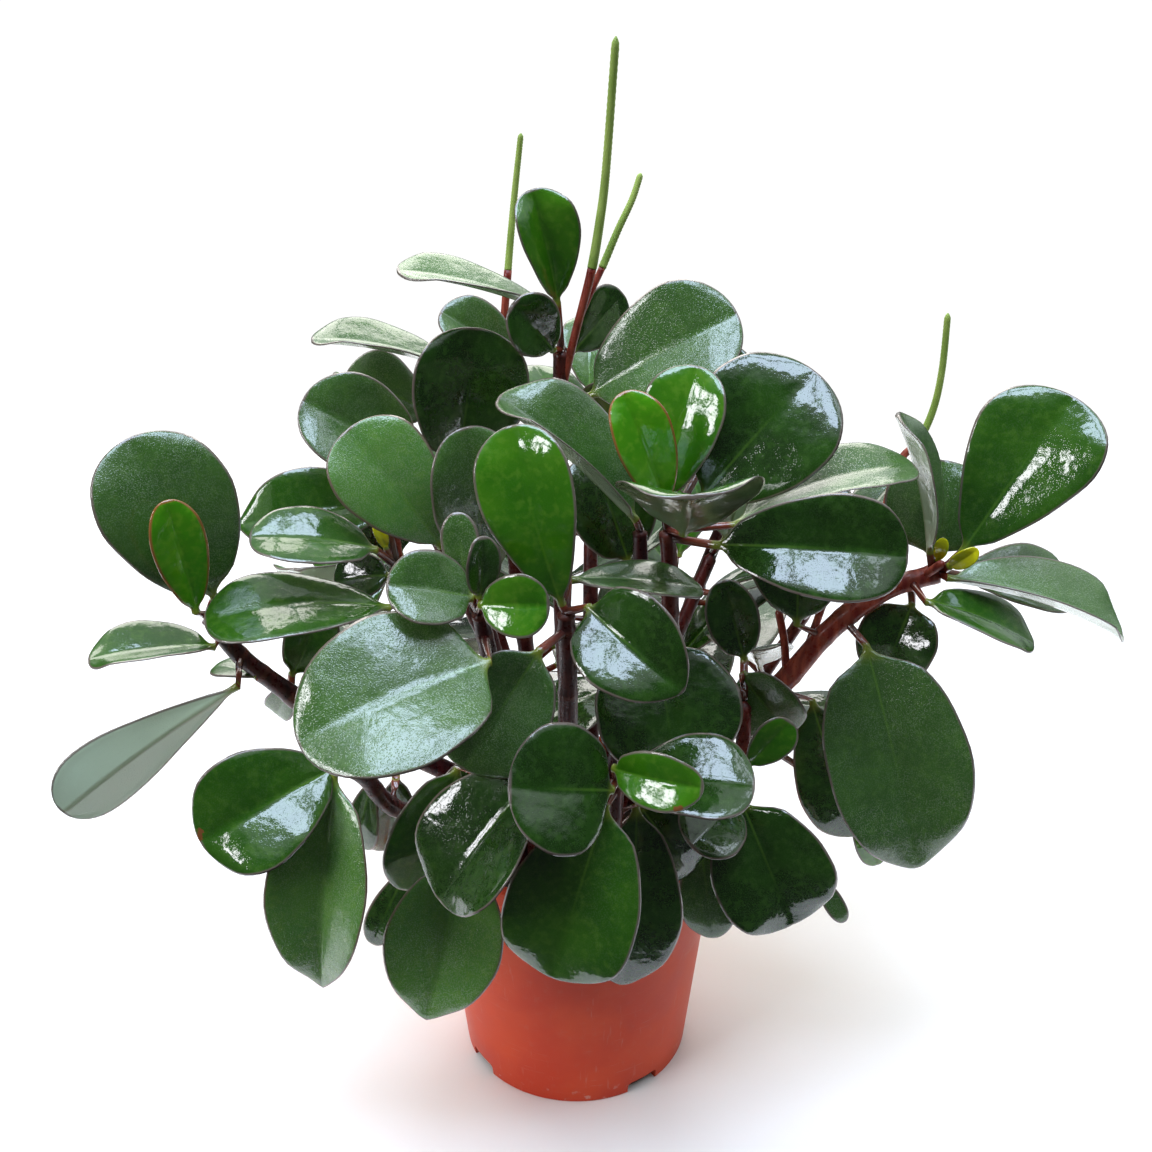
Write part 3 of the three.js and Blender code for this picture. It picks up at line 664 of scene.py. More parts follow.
# %% [markdown]
# ## The form of a leaf
# The blade is an oval, widest in the middle or nearer the tip. It arches along
# its length, folds a little along its midrib, cups at the edges and twists. The
# few even draws for these come from the leaf's own number, so that they are the
# same each time.

# %% Even draws
SEED_SPREAD, SEED_SHIFT = 7919, 12345
DRAW_FACTOR, DRAW_SHIFT, DRAW_RANGE = 1664525, 1013904223, 2**32


def draws_from(seed):
    """Even draws between 0 and 1, the same for the same seed."""
    state = seed * SEED_SPREAD + SEED_SHIFT

    def draw():
        nonlocal state
        state = (state * DRAW_FACTOR + DRAW_SHIFT) % DRAW_RANGE
        return state / DRAW_RANGE

    return draw


first_draws = draws_from(1)
print("the first leaf draws", round(first_draws(), 3), "and then", round(first_draws(), 3))

# %% [markdown]
# The outline is two powers multiplied, one that rises from the stalk and one that
# falls to the tip. The more spoon-shaped the leaf, the later both do so.

# %% Leaf outline
SWELLS, SPOON_SWELLS = 0.5, 0.35
NARROWS, SPOON_NARROWS = 1, 2.4


def leaf_outline(along, spoon, sharp):
    """The share of a leaf's full width at one place along it."""
    narrow, blunt = SWELLS + SPOON_SWELLS * spoon, NARROWS + SPOON_NARROWS * spoon
    widest = (narrow / (narrow + blunt * sharp)) ** (1 / blunt)

    def width_at(p):
        return p**narrow * (1 - p**blunt) ** sharp

    return width_at(along) / width_at(widest)


print("an oval leaf has", round(leaf_outline(0.2, 0.5, 0.5), 2), "of its width at a fifth of its length")

# %% [markdown]
# The blade's frame says, at every place along it, where its middle is and which
# way is ahead, sideways and up. The arch is a plain bow from base to tip.

# %% Leaf frame
ARCH, ARCH_VARIES = 0.05, 0.13
FOLD, FOLD_VARIES = 0.08, 0.3
CUP_VARIES, CUP_MIDDLE = 0.12, 0.3
TWIST_VARIES = 0.5


class Leaf:
    """A blade with its place, facing and bends, all in mm."""

    def __init__(self, base, tip, face, width, spoon, sharp, folded, draw):
        self.base, self.tip, self.width = base, tip, width
        self.spoon, self.sharp = spoon, sharp
        self.length = (tip - base).length
        self.ahead = (tip - base).normalized()
        self.side = self.ahead.cross(face).normalized()
        self.up = self.side.cross(self.ahead)
        self.arch = ARCH + ARCH_VARIES * draw()
        self.fold = FOLD + FOLD_VARIES * draw() + folded
        self.cup = CUP_VARIES * (draw() - CUP_MIDDLE)
        self.twist = TWIST_VARIES * (draw() - 0.5)

    def frame_at(self, along):
        """Middle of the blade, and its ahead, side and up, at one place along it."""
        crown = (self.base + self.tip) / 2 + self.up * (self.arch * self.length)
        back = 1 - along
        middle = self.base * back**2 + crown * (2 * along * back) + self.tip * along**2
        ahead = ((crown - self.base) * back + (self.tip - crown) * along).normalized()
        rise = self.side.cross(ahead)
        turn = self.twist * (along - 0.5)
        side = self.side * math.cos(turn) + rise * math.sin(turn)
        return middle, ahead, side, side.cross(ahead)

    def half_width(self, along):
        return self.width / 2 * leaf_outline(along, self.spoon, self.sharp)

    def lift(self, half):
        """How far the edges of the folded and cupped blade rise over its midrib."""
        return half * (math.sin(self.fold) + self.cup)


print("a leaf is folded by", FOLD, "to", FOLD + FOLD_VARIES, "radians")

# %% [markdown]
# ## Which way each leaf went
# In the solids a leaf that would have crossed another was bent clear of it. The
# same ways are tried here in the same order, and the one whose tip lies on the
# corners of its own solid is taken. A leaf with no such way was left out there,
# so it is left out here too. A seen leaf may bend forwards or back and turn.

# %% Ways of a seen leaf
SEEN_BENDS = (0, 5, -5, 10, -10, 16, -16, 24, -24, 34, -34)
SEEN_TURNS = (0, 14, -14, 28, -28)


def seen_ways(start, end, width, turned, number, spoon=0.5, sharp=0.5, folded=0):
    """All leaves that a reading may stand for, the plainest first."""
    base = seen(start)
    for bend in SEEN_BENDS:
        tip = seen((end[0], end[1], end[2] + bend))
        ahead = (tip - base).normalized()
        viewer = EYE - base
        facing = (viewer - ahead * viewer.dot(ahead)).normalized()
        away = ahead.cross(facing)
        for turn in SEEN_TURNS:
            angle = math.radians(turned + turn)
            face = facing * math.cos(angle) + away * math.sin(angle)
            yield Leaf(base, tip, face, width, spoon, sharp, folded, draws_from(number))


print(len(SEEN_BENDS) * len(SEEN_TURNS), "ways for a seen leaf")

# %% [markdown]
# On the shoots behind, each leaf stands 137.5 degrees further round than the one
# before, as on most plants. The older leaves lower down are longer and hang more.
# A leaf there may swing to the side or lift.

# %% Ways of a leaf by rule
BACK_SWINGS = (0, 0.35, -0.35, 0.7, -0.7, 1.05, -1.05)
BACK_LIFTS = (0, 0.25, -0.25, 0.5)
GOLDEN_TURN = math.radians(137.5)
LEAVES_APART = 1.6
BACK_LENGTH, OLD_LONGER, LENGTH_VARIES = 34, 26, 6
BACK_WIDTH, WIDTH_VARIES = 0.58, 0.12
BACK_CLIMB, OLD_LOWER, CLIMB_VARIES = 1.0, 1.15, 0.3
STALK_LENGTH, STALK_CLIMB = 13, 0.9
FACE_LEAN = 0.35


def back_ways(line, count, order, number):
    """All leaves that may grow in this order, from the top down, on a shoot behind."""
    draw = draws_from(number)
    low = order / (count - 1)
    start = line[len(line) - 1 - math.floor(order * LEAVES_APART + 0.5)]
    length = BACK_LENGTH + OLD_LONGER * math.sqrt(low) + LENGTH_VARIES * draw()
    width = length * (BACK_WIDTH + WIDTH_VARIES * draw())
    heading = order * GOLDEN_TURN + number
    climb = BACK_CLIMB - OLD_LOWER * low + CLIMB_VARIES * (draw() - 0.5)
    for swing in BACK_SWINGS:
        for lift in BACK_LIFTS:
            out = Vector((math.cos(heading + swing), math.sin(heading + swing), 0))
            base = start + (out + UP * STALK_CLIMB).normalized() * STALK_LENGTH
            tip = base + (out * math.cos(climb + lift) + UP * math.sin(climb + lift)) * length
            yield Leaf(base, tip, UP + out * FACE_LEAN, width, 0.5, 0.5, 0, draws_from(number))


print(len(BACK_SWINGS) * len(BACK_LIFTS), "ways for a leaf by rule")

# %% [markdown]
# The solid's own corners decide. Close to the tip every way has four corners, and
# only the right way has all four on corners of the solid, to a tenth of a mm. A
# tree of the solid's corners finds the nearest one at once.

# %% Find the way each leaf took
LEAF_RIM = 0.7
TIP_STATION = 0.985
CORNER_MATCH = 0.1


def tip_corners(leaf):
    middle, _, side, up = leaf.frame_at(TIP_STATION)
    half = leaf.half_width(TIP_STATION)
    slant = math.cos(leaf.fold)
    lift, rim = leaf.lift(half), LEAF_RIM / 2 / slant
    edges = [middle + side * (s * half * slant) for s in (-1, 1)]
    return [edge + up * (lift + t * rim) for edge in edges for t in (-1, 1)]


def corners_of(node):
    """The corners of one solid, in mm, sorted for a quick search."""
    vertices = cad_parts[node].data.vertices
    tree = KDTree(len(vertices))
    for index, vertex in enumerate(vertices):
        tree.insert(vertex.co / MM, index)
    tree.balance()
    return tree


def way_taken(ways, tree):
    """The way that lies on the solid's corners, or none."""
    best, best_gap = None, CORNER_MATCH
    for leaf in ways:
        gap = max(tree.find(corner)[2] for corner in tip_corners(leaf))
        if gap < best_gap:
            best, best_gap = leaf, gap
    return best


leaves = {}
number = 0
for name, stem in ALL_STEMS.items():
    tree = corners_of(name)
    leaves[name] = []
    readings = stem["leaves"] if name in STEMS else range(stem["leaves"])
    for order, reading in enumerate(readings):
        number += 1
        if name in STEMS:
            ways = seen_ways(*reading[:4], number, *reading[4:])
        else:
            ways = back_ways(stem_lines[name], stem["leaves"], order, number)
        leaf = way_taken(ways, tree)
        if leaf:
            leaves[name].append((order, number, leaf))
print(sum(len(group) for group in leaves.values()), "of", number, "leaves found")

# %% [markdown]
# ## The finer leaf
# A leaf of this plant is about 2 mm thick at its midrib and has a swollen, slightly
# turned-down margin. Its stalk is round and flows into the blade. One skin of
# rings does all of it: the rings start round in the stem, and flatten into the
# folded blade. Two plain surfaces with a thickness modifier would have a hard rim.
# Where the blade is narrow, its thickness and its waves are held back.

# %% One ring of a leaf
RING_POINTS = 28
STALK_RADIUS, STALK_SHARE, STALK_REACH = 1.35, 0.2, 0.3
LEAF_MIDDLE, THINS_FAST = 1.7, 1.2
CREASE = 1.5
GROOVE, GROOVE_REACH = 0.22, 0.8
RIB_SWELL, RIB_REACH = 0.45, 1.3
MARGIN_SWELL, MARGIN_REACH = 0.17, 0.9
MARGIN_DROP, DROP_REACH, MARGIN_SQUARE = 0.35, 1.6, 10
TIP_FLATTENS, TIP_FROM = 0.6, 0.8
THICK_FROM, DROP_FROM, WAVE_FROM = 3, 6, 8
STALK_OVAL = 1.05
ON_THE_EDGE = 1e-6


def smooth(value, start, end):
    """Softly from nothing to one while the value goes from start to end."""
    t = min(max((value - start) / (end - start), 0), 1)
    return t * t * (3 - 2 * t)


def close(distance, reach):
    """One on the spot, and softly down to nothing further off."""
    return math.exp(-((distance / reach) ** 2))


def section(leaf, place, along, flat, wave, dent):
    """One ring: round where flat is 0, and the folded blade where it is 1."""
    middle, side, up = place
    stalk = min(STALK_RADIUS, STALK_SHARE * leaf.width) * max(0, 1 - along / STALK_REACH)
    half = (leaf.half_width(along) ** 3 + stalk**3) ** (1 / 3)
    lift = leaf.lift(half) * (1 - TIP_FLATTENS * smooth(along, TIP_FROM, 1))
    slant = math.cos(leaf.fold)
    thick_here = min(1, half / THICK_FROM)
    drop_here = min(1, half / DROP_FROM)
    wave_here = min(1, half / WAVE_FROM)
    rib_more = RIB_SWELL * (1 - along) ** 2
    ring = []
    for k in range(RING_POINTS):
        angle = -2 * math.pi * k / RING_POINTS
        v = math.copysign(abs(math.cos(angle)) ** CREASE, math.cos(angle))
        w = math.sin(angle)
        edge = (1 - abs(v)) * half
        thick = LEAF_RIM / 2 + (LEAF_MIDDLE - LEAF_RIM) / 2 * (1 - abs(v)) ** THINS_FAST
        if w < 0:
            thick += rib_more * close(v * half, RIB_REACH)
        thick += MARGIN_SWELL * close(edge, MARGIN_REACH)
        thick *= math.sqrt(max(0, 1 - v**MARGIN_SQUARE)) * thick_here / slant
        high = lift * abs(v) + wave(along, v) * wave_here
        high -= MARGIN_DROP * close(edge, DROP_REACH) * drop_here
        if w > 0:
            high -= GROOVE * close(v * half, GROOVE_REACH) * thick_here
        if abs(w) > ON_THE_EDGE:
            high += math.copysign(thick, w)
        round_point = side * (stalk * math.cos(angle) * STALK_OVAL) + up * (stalk * w)
        flat_point = side * (half * slant * v * (1 - dent(along, v))) + up * high
        ring.append((middle + round_point.lerp(flat_point, flat), v, w, half, edge))
    return ring


print("a ring of the blade has", RING_POINTS, "points")

# %% [markdown]
# No leaf is a perfect oval. Its margin waves up and down, and its outline is drawn
# in a little here and there. Both are slow sines with a start of their own on each
# half of the leaf. Noise would also do, but it is harder to keep gentle.

# %% The rings of a whole leaf
STALK_RINGS, BLADE_RINGS = 7, 30
RUFFLE, RUFFLE_LEAST = 0.009, 0.3
WAVES, WAVES_VARY = 1.2, 1.6
ROUND_TURN = 6.28
DENT, QUICK_SHARE = 0.016, 0.4
SLOW_DENTS, QUICK_DENTS = 7, 21
LAST_RING = 0.9985
FLAT_FROM, FLAT_TO = 0.0, 0.13
ROOT_LEAN = 0.5


def leaf_rings(leaf, root, draw):
    """The rings from inside the stem to the leaf's tip, each with its place along the leaf."""
    ruffle = RUFFLE * leaf.width * (RUFFLE_LEAST + draw())
    turns = WAVES + WAVES_VARY * draw()
    phases = (ROUND_TURN * draw(), ROUND_TURN * draw())

    def wave(along, v):
        phase = phases[0] if v > 0 else phases[1]
        return ruffle * abs(v) ** 3 * math.sin(2 * math.pi * turns * along + phase)

    def dent(along, v):
        phase = phases[0] if v > 0 else phases[1]
        slow = 1 + math.sin(SLOW_DENTS * along + 2 * phase)
        quick = 1 + math.sin(QUICK_DENTS * along + 5 * phase)
        return DENT * (slow + QUICK_SHARE * quick) * math.sin(math.pi * min(max(along, 0), 1)) ** 0.5

    ahead = (leaf.base - root).normalized()
    lean = leaf.up - leaf.ahead * ROOT_LEAN
    root_up = (lean - ahead * lean.dot(ahead)).normalized()
    root_side = ahead.cross(root_up)
    middle, _, side, up = leaf.frame_at(0)
    for k in range(STALK_RINGS):
        way = k / STALK_RINGS
        here_side = root_side.lerp(side, way).normalized()
        here_up = root_up.lerp(up, way).normalized()
        place = (root.lerp(middle, way), here_side, here_up)
        yield way - 1, section(leaf, place, 0, 0, wave, dent)
    for k in range(BLADE_RINGS):
        along = (1 - math.cos(math.pi * k / (BLADE_RINGS - 1))) / 2 * LAST_RING
        middle, _, side, up = leaf.frame_at(along)
        flat = smooth(along, FLAT_FROM, FLAT_TO)
        yield along, section(leaf, (middle, side, up), along, flat, wave, dent)


print((STALK_RINGS + BLADE_RINGS) * RING_POINTS, "corners for each leaf")

# %% [markdown]
# The finish has to know where on the leaf it is, so each corner is marked with its
# place along the leaf, its distances from the margin and the midrib, its side,
# how old and how dry the leaf is there, and how much dust and painted sheen it
# carries. On the stalk the place along the leaf runs from minus one to nothing.

# %% Skin and mark one leaf
NOWHERE_DRY = (2, 2, 1)
STALK_MARGIN = 5


def add_leaf(skin, leaf, root, age, dust, draw, dry_place=NOWHERE_DRY):
    """Skin one leaf. A dry place is how far along it is, how far across, and its radius in mm."""
    rings = []
    dry_along, dry_across, dry_radius = dry_place
    for along, ring in leaf_rings(leaf, root, draw):
        rings.append([point for point, _, _, _, _ in ring])
        for _, v, w, half, edge in ring:
            margin = min(edge, (1 - along) * leaf.length) if along > 0 else STALK_MARGIN
            under = 0.5 - 0.5 * math.copysign(1, w) if abs(w) > ON_THE_EDGE else 0.5
            from_dry = math.hypot((along - dry_along) * leaf.length, (v - dry_across) * half)
            skin.mark(along=along, margin_mm=margin, rib_mm=abs(v) * half, under=under)
            # The dust mark also carries painted sheen on some leaves.
            skin.mark(age=age, dust=dust, dry=close(from_dry, dry_radius))
    skin.tube(rings)


print("a dry spot of 2 mm fades to", round(close(2, 2), 2), "at its edge")

# %% [markdown]
# ## How old each leaf is, and its dust and painted sheen
# Old leaves are dark, the youngest are bright green with a redder margin, and
# some have a grey, grainy film, which is dust and partly painted sheen and glare.
# Each seen leaf has one letter: d for dark, m for middling, b for bright, y for
# young, g for grey, p for pale, n for nearly dark and l for light and dusty. The
# g, p and l leaves are made paler partly as painted sheen. The leaves by rule are
# brighter towards the top.

# %% Letters for the seen leaves
# Each letter is an age and a share of dust; for g, p and l that share is partly painted sheen and glare.
AGE_DUST_AND_SHEEN = {
    "d": (0.0, 0.12), "m": (0.18, 0.15), "b": (0.5, 0.06), "y": (1.0, 0.0),
    "g": (0.16, 0.62), "p": (0.3, 1.0), "n": (0.04, 0.3), "l": (0.7, 0.9),
}
LOOKS = {
    "stem_top": "bpddg", "stem_upper_left": "ggg", "stem_left_front": "dglg", "stem_middle": "bdgg",
    "stem_near_left": "ggnbg", "stem_centre_right": "ybndmgdd", "stem_centre": "gd",
    "stem_right": "mggpmgdgddb", "stem_far_left": "gympgmg", "stem_left": "mmdmd",
    "stem_low_left": "mlnn", "stem_low_front": "dlmdd", "stem_low_middle": "dmdbdd",
    "stem_low_right": "dggbdgd",
}
YOUNGEST_BEHIND, DUSTIEST_BEHIND = 0.75, 0.7


def look_of(name, order, draw):
    """How old one leaf is, and how much dust and painted sheen it has."""
    if name in LOOKS:
        return AGE_DUST_AND_SHEEN[LOOKS[name][order]]
    height = 1 - order / (BACK_STEMS[name]["leaves"] - 1)
    return YOUNGEST_BEHIND * height**2 * draw(), DUSTIEST_BEHIND * draw() ** 2


print("a letter for each leaf:", all(len(LOOKS[name]) == len(STEMS[name]["leaves"]) for name in STEMS))

# %% [markdown]
# ## The leaves' finish
# The blade is a deep saturated green under a waxy coat that mirrors the room.
# What tells it from plastic is in the small things: a thin grey-red margin, a
# lighter midrib, a stalk that turns from yellow to red towards the stem, a fine
# grain of pale dots, slow waves in the surface, and a paler, duller underside.
# The dots and waves are noise, and the marks on the corners place the rest. On the
# leaves marked dusty, the pale film and the grey-green are dust and partly painted
# sheen. The upper face comes first. Each pair of colours is for an old leaf and a
# young one.

# %% The upper face
OLD_GREEN, YOUNG_GREEN = "#163504", "#429009"
OLD_PATCH, YOUNG_PATCH = "#264f0b", "#5fa213"
OLD_FLECK, YOUNG_FLECK = "#3a5e1e", "#7cb12c"
SPROUT_YELLOW, SPROUT_AGE = "#e2d916", 2
DUST_AND_SHEEN_GREEN, PALE_FILM_AND_SHEEN = "#76925f", "#abbc9a"
PALE_MIDRIB = "#7fae3c"


def film_and_sheen_of(wax, dots):
    """How thick the pale film of fine grain and dots lies: dust, and partly painted sheen."""
    fine = wax.fade(wax.grain(0.45, 4), 0.45, 0.7)
    cloud = wax.fade(wax.grain(13, 4), 0.3, 0.7, 0.35, 1.0)
    return wax.times(wax.math("MAXIMUM", dots, fine), wax.times(wax.mark("dust"), cloud))


def upper_face(wax, film_and_sheen):
    """Greens in patches and flecks, under the dust and painted sheen, with the pale midrib."""
    age, dust = wax.mark("age"), wax.mark("dust")
    green = wax.mix(age, OLD_GREEN, YOUNG_GREEN)
    patches = wax.fade(wax.grain(15, 3), 0.36, 0.68, 0, 0.6)
    green = wax.mix(patches, green, wax.mix(age, OLD_PATCH, YOUNG_PATCH))
    flecks = wax.fade(wax.grain(2.6, 5), 0.46, 0.7, 0, 0.42)
    green = wax.mix(flecks, green, wax.mix(age, OLD_FLECK, YOUNG_FLECK))
    green = wax.mix(wax.fade(age, 1.1, 1.6), green, SPROUT_YELLOW)
    # Grey-green and pale film: dust, and partly painted sheen and glare.
    green = wax.mix(wax.times(wax.times(dust, dust), 0.42), green, DUST_AND_SHEEN_GREEN)
    green = wax.mix(wax.times(film_and_sheen, 0.4), green, PALE_FILM_AND_SHEEN)
    near_stalk = wax.fade(wax.mark("along"), 0.8, 0.0)
    vein = wax.times(wax.fade(wax.mark("rib_mm"), 0.7, 0.1), near_stalk)
    return wax.mix(wax.times(vein, 0.28), green, PALE_MIDRIB)


print("old leaves are", OLD_GREEN, "and young ones", YOUNG_GREEN)

# %% [markdown]
# The underside is duller. On old leaves it is a brownish olive, on those marked
# dusty nearly white, partly as painted sheen, and on young ones a plain light green.

# %% The underside
BACK_OLIVE, BACK_BROWN = "#56652a", "#6d7034"
BACK_DUST_AND_SHEEN, BACK_YOUNG, BACK_MIDRIB = "#e0eed8", "#4f9226", "#8d9468"


def underside(wax):
    back = wax.mix(wax.fade(wax.grain(9, 3), 0.35, 0.65), BACK_OLIVE, BACK_BROWN)
    # Nearly white where the dust mark is high: dust, and partly painted sheen.
    back = wax.mix(wax.mark("dust"), back, BACK_DUST_AND_SHEEN)
    back = wax.mix(wax.times(wax.mark("age"), 0.8), back, BACK_YOUNG)
    return wax.mix(wax.times(wax.fade(wax.mark("rib_mm"), 1.4, 0.4), 0.5), back, BACK_MIDRIB)


print("a dusty back is", BACK_DUST_AND_SHEEN)

# %% [markdown]
# The margin is a thin line, grey on old leaves and orange-red on young ones. The
# dry places are brown with a ragged edge, so a little noise is added to their
# distance. The stalk is red at the stem and turns yellow-green at the blade.

# %% Margin, dry places and stalk
OLD_MARGIN, YOUNG_MARGIN = "#76665e", "#a05a34"
DRY_BROWN = "#7a4a26"
STALK_DARK_RED, STALK_RED, STALK_YELLOW = "#4a1814", "#7e3420", "#7d8a2c"


def edge_and_stalk(wax, blade):
    age, along = wax.mark("age"), wax.mark("along")
    margin = wax.mix(wax.fade(age, 0.6, 1), OLD_MARGIN, YOUNG_MARGIN)
    margin_share = wax.fade(age, 1.6, 1.1, 0, 0.9)
    blade = wax.mix(wax.times(wax.fade(wax.mark("margin_mm"), 1.2, 0.45), margin_share), blade, margin)
    ragged = wax.plus(wax.mark("dry"), wax.fade(wax.grain(1.6, 3), 0.2, 0.8, -0.25, 0.25))
    blade = wax.mix(wax.fade(ragged, 0.35, 0.55), blade, DRY_BROWN)
    stalk = wax.mix(wax.fade(along, -0.85, -0.1), STALK_DARK_RED, STALK_RED)
    stalk = wax.mix(wax.fade(along, -0.12, 0.03), stalk, STALK_YELLOW)
    return wax.mix(wax.fade(along, 0.0, 0.09), stalk, blade)


print("an old margin is", OLD_MARGIN)

# %% [markdown]
# The wax is a clear coat over all of this. Three bumps lie in it, each on top of
# the last: slow waves that bend what it mirrors, a fine leather, and the dots of
# the film. A displaced mesh would need far more corners for the same shine.

# %% The waxy leaf
WAX = {"Coat_Weight": 1.0, "Coat_Roughness": 0.05, "Coat_IOR": 1.75, "Specular_IOR_Level": 0.06}


def leaf_finish():
    wax = Finish("waxy_leaf", **WAX)
    dots = wax.fade(wax.spots(0.62), 0.42, 0.1)
    # The film is dust, and on the leaves marked g, p or l partly painted sheen.
    film_and_sheen = film_and_sheen_of(wax, dots)
    is_back = wax.fade(wax.mark("under"), 0.45, 0.55)
    blade = wax.mix(is_back, upper_face(wax, film_and_sheen), underside(wax))
    colour = edge_and_stalk(wax, blade)
    rough = wax.plus(wax.fade(film_and_sheen, 0, 1, 0.3, 0.55), wax.fade(wax.grain(5, 2), 0.3, 0.7, 0, 0.08))
    rough = wax.plus(rough, wax.times(is_back, 0.15))
    waves = wax.bump(wax.grain(14, 3), 1.1, 0.6)
    leather = wax.bump(wax.grain(1.5, 4), 0.05, 0.7, under=waves)
    dots_show = wax.fade(wax.mark("dust"), 0, 0.6, 0.25, 1.0)
    droplets = wax.bump(wax.plus(film_and_sheen, dots), 0.03, dots_show, under=leather)
    return wax.wear(Base_Color=colour, Roughness=rough, Normal=droplets, Coat_Normal=droplets)


WAXY_LEAF = leaf_finish()
print("leaf finish has", len(WAXY_LEAF.node_tree.nodes), "nodes")

# %% [markdown]
# ## Sprouts and dry places
# Three yellow sprouts, too small for the solids, are read from the picture in the
# way of the leaves. The few places where an old leaf has gone dry and brown are
# read too: how far along the leaf, how far across, and the radius in mm.

# %% Sprouts and dry places
SPROUTS = {
    "stem_left": [[(386, 548, -27), (375, 522, -25), 5, 10, 0.2]],
    "stem_right": [
        [(950, 566, -27), (978, 549, -33), 7, 15, 0.2],
        [(938, 560, -22), (944, 538, -26), 5, 0, 0.3],
    ],
}
DRY_PLACES = {
    ("stem_centre_right", 7): (0.9, -0.75, 2.2), ("stem_low_left", 0): (0.97, 0.3, 1.6),
    ("stem_low_middle", 3): (0.8, 0.9, 1.2), ("stem_top", 1): (0.75, 0.95, 1.0),
}
print(sum(len(group) for group in SPROUTS.values()), "sprouts and", len(DRY_PLACES), "dry places")

# %% [markdown]
# ## Put the leaves on their stems
# A leaf's stalk starts in the middle of its stem, at the place on the stem's
# line that is nearest to the blade. All leaves of one stem are one piece, because
# they share one finish, and the solid that they stand in for is one body as well.

# %% Grow the leaves
LEAF_SEEDS, SPROUT_WAYS, SPROUT_SEEDS = 1000, 300, 400


def nearest_on(line, target):
    """The place on a line that is nearest to a point."""
    return min(line, key=lambda point: (point - target).length)


for name, group in leaves.items():
    skin = Skin()
    line = stem_lines[name]
    for order, number, leaf in group:
        draw = draws_from(number + LEAF_SEEDS)
        age, dust = look_of(name, order, draw)
        dry_place = DRY_PLACES.get((name, order), NOWHERE_DRY)
        add_leaf(skin, leaf, nearest_on(line, leaf.base), age, dust, draw, dry_place)
    for order, (start, end, width, turned, spoon) in enumerate(SPROUTS.get(name, [])):
        sprout = next(seen_ways(start, end, width, turned, SPROUT_WAYS + order, spoon))
        draw = draws_from(SPROUT_SEEDS + order)
        add_leaf(skin, sprout, nearest_on(line, sprout.base), SPROUT_AGE, 0, draw)
    skin.piece(name + "_leaves", WAXY_LEAF, "leaves", [name])
print("leaves grown on", len(leaves), "stems")

# %% [markdown]
# ## The stems
# The stems are smooth, fleshy and dark red, with a swollen ring and a pale scar
# where a leaf sits or sat. A round skin along the same curve as the solid, with
# its thickness swelling at each scar, is enough. The rings are kept from twisting:
# each takes over the last one's sideways direction.

# %% Rings along a stem
STEM_SIDES = 20
SCAR_REACH, SCAR_SWELL = 1.5, 0.07
LUMPS, LUMP_TURNS_PER_MM = 0.03, 0.11
END_ROUNDING, END_LEAST = 1.6, 0.05


def tube_rings(line, radius_at, sides):
    """A ring round each point of a line. The radius may differ along it and round it."""
    across = Vector((1, 0, 0))
    turns = [2 * math.pi * s / sides for s in range(sides)]
    for k, point in enumerate(line):
        ahead = (line[min(k + 1, len(line) - 1)] - line[max(k - 1, 0)]).normalized()
        across = (across - ahead * across.dot(ahead)).normalized()
        beside = ahead.cross(across)
        ways = [across * math.cos(t) + beside * math.sin(t) for t in turns]
        yield [point + way * radius_at(k, t) for way, t in zip(ways, turns)]


def line_length(line):
    return sum((b - a).length for a, b in zip(line, line[1:]))


def add_stem(skin, line, thick_at, scars, fresh, draw, blunt=False):
    """A tapering tube that swells at the scars, with its marks. It ends round, or blunt."""
    spacing = line_length(line) / (len(line) - 1)
    phase = ROUND_TURN * draw()

    def scar_at(k):
        return min(sum(close((line[k] - scar).length, SCAR_REACH) for scar in scars), 1)

    def radius_at(k, turn):
        to_end = (len(line) - 1 - k) * spacing
        end = 1 if blunt else min(1, math.sqrt(to_end / END_ROUNDING + END_LEAST))
        lumps = 1 + LUMPS * math.sin(2 * turn + phase + LUMP_TURNS_PER_MM * k * spacing)
        return thick_at(k) * (lumps + SCAR_SWELL * scar_at(k)) * end

    skin.tube(list(tube_rings(line, radius_at, STEM_SIDES)))
    for k in range(len(line)):
        scar = scar_at(k)
        for _ in range(STEM_SIDES):
            skin.mark(scar=scar, fresh=fresh)


print("a stem has", STEM_SIDES, "sides")

# %% [markdown]
# ## The stems' finish
# Old stems are nearly black-red and young ones a warm brick red, both with faint
# lengthwise streaks. Pale specks and the scars' grey-brown lie over that. The skin
# is only a little shiny, unlike the leaves, so its clear coat is weak.


# %% The fleshy stem
OLD_STEM, OLD_STREAK = "#26080d", "#4a1317"
YOUNG_STEM, YOUNG_STREAK = "#822a22", "#b4543f"
STEM_SPECK, STEM_SCAR = "#8a5648", "#7c4436"


def stem_finish():
    flesh = Finish("fleshy_stem", Coat_Weight=0.12, Coat_Roughness=0.15, Specular_IOR_Level=0.35)
    streaks = flesh.fade(flesh.grain(2.2, 3, flesh.stretched((1, 1, 0.16))), 0.35, 0.7)
    old = flesh.mix(streaks, OLD_STEM, OLD_STREAK)
    young = flesh.mix(streaks, YOUNG_STEM, YOUNG_STREAK)
    red = flesh.mix(flesh.mark("fresh"), old, young)
    red = flesh.mix(flesh.fade(flesh.spots(1.6), 0.2, 0.06, 0, 0.25), red, STEM_SPECK)
    red = flesh.mix(flesh.times(flesh.fade(flesh.mark("scar"), 0.45, 0.95), 0.35), red, STEM_SCAR)
    rough = flesh.fade(flesh.grain(1.5, 3), 0.3, 0.7, 0.24, 0.45)
    bumps = flesh.bump(flesh.plus(streaks, flesh.grain(0.7, 2)), 0.12, 0.6)
    return flesh.wear(Base_Color=red, Roughness=rough, Normal=bumps)


FLESHY_STEM = stem_finish()
print("stem finish has", len(FLESHY_STEM.node_tree.nodes), "nodes")

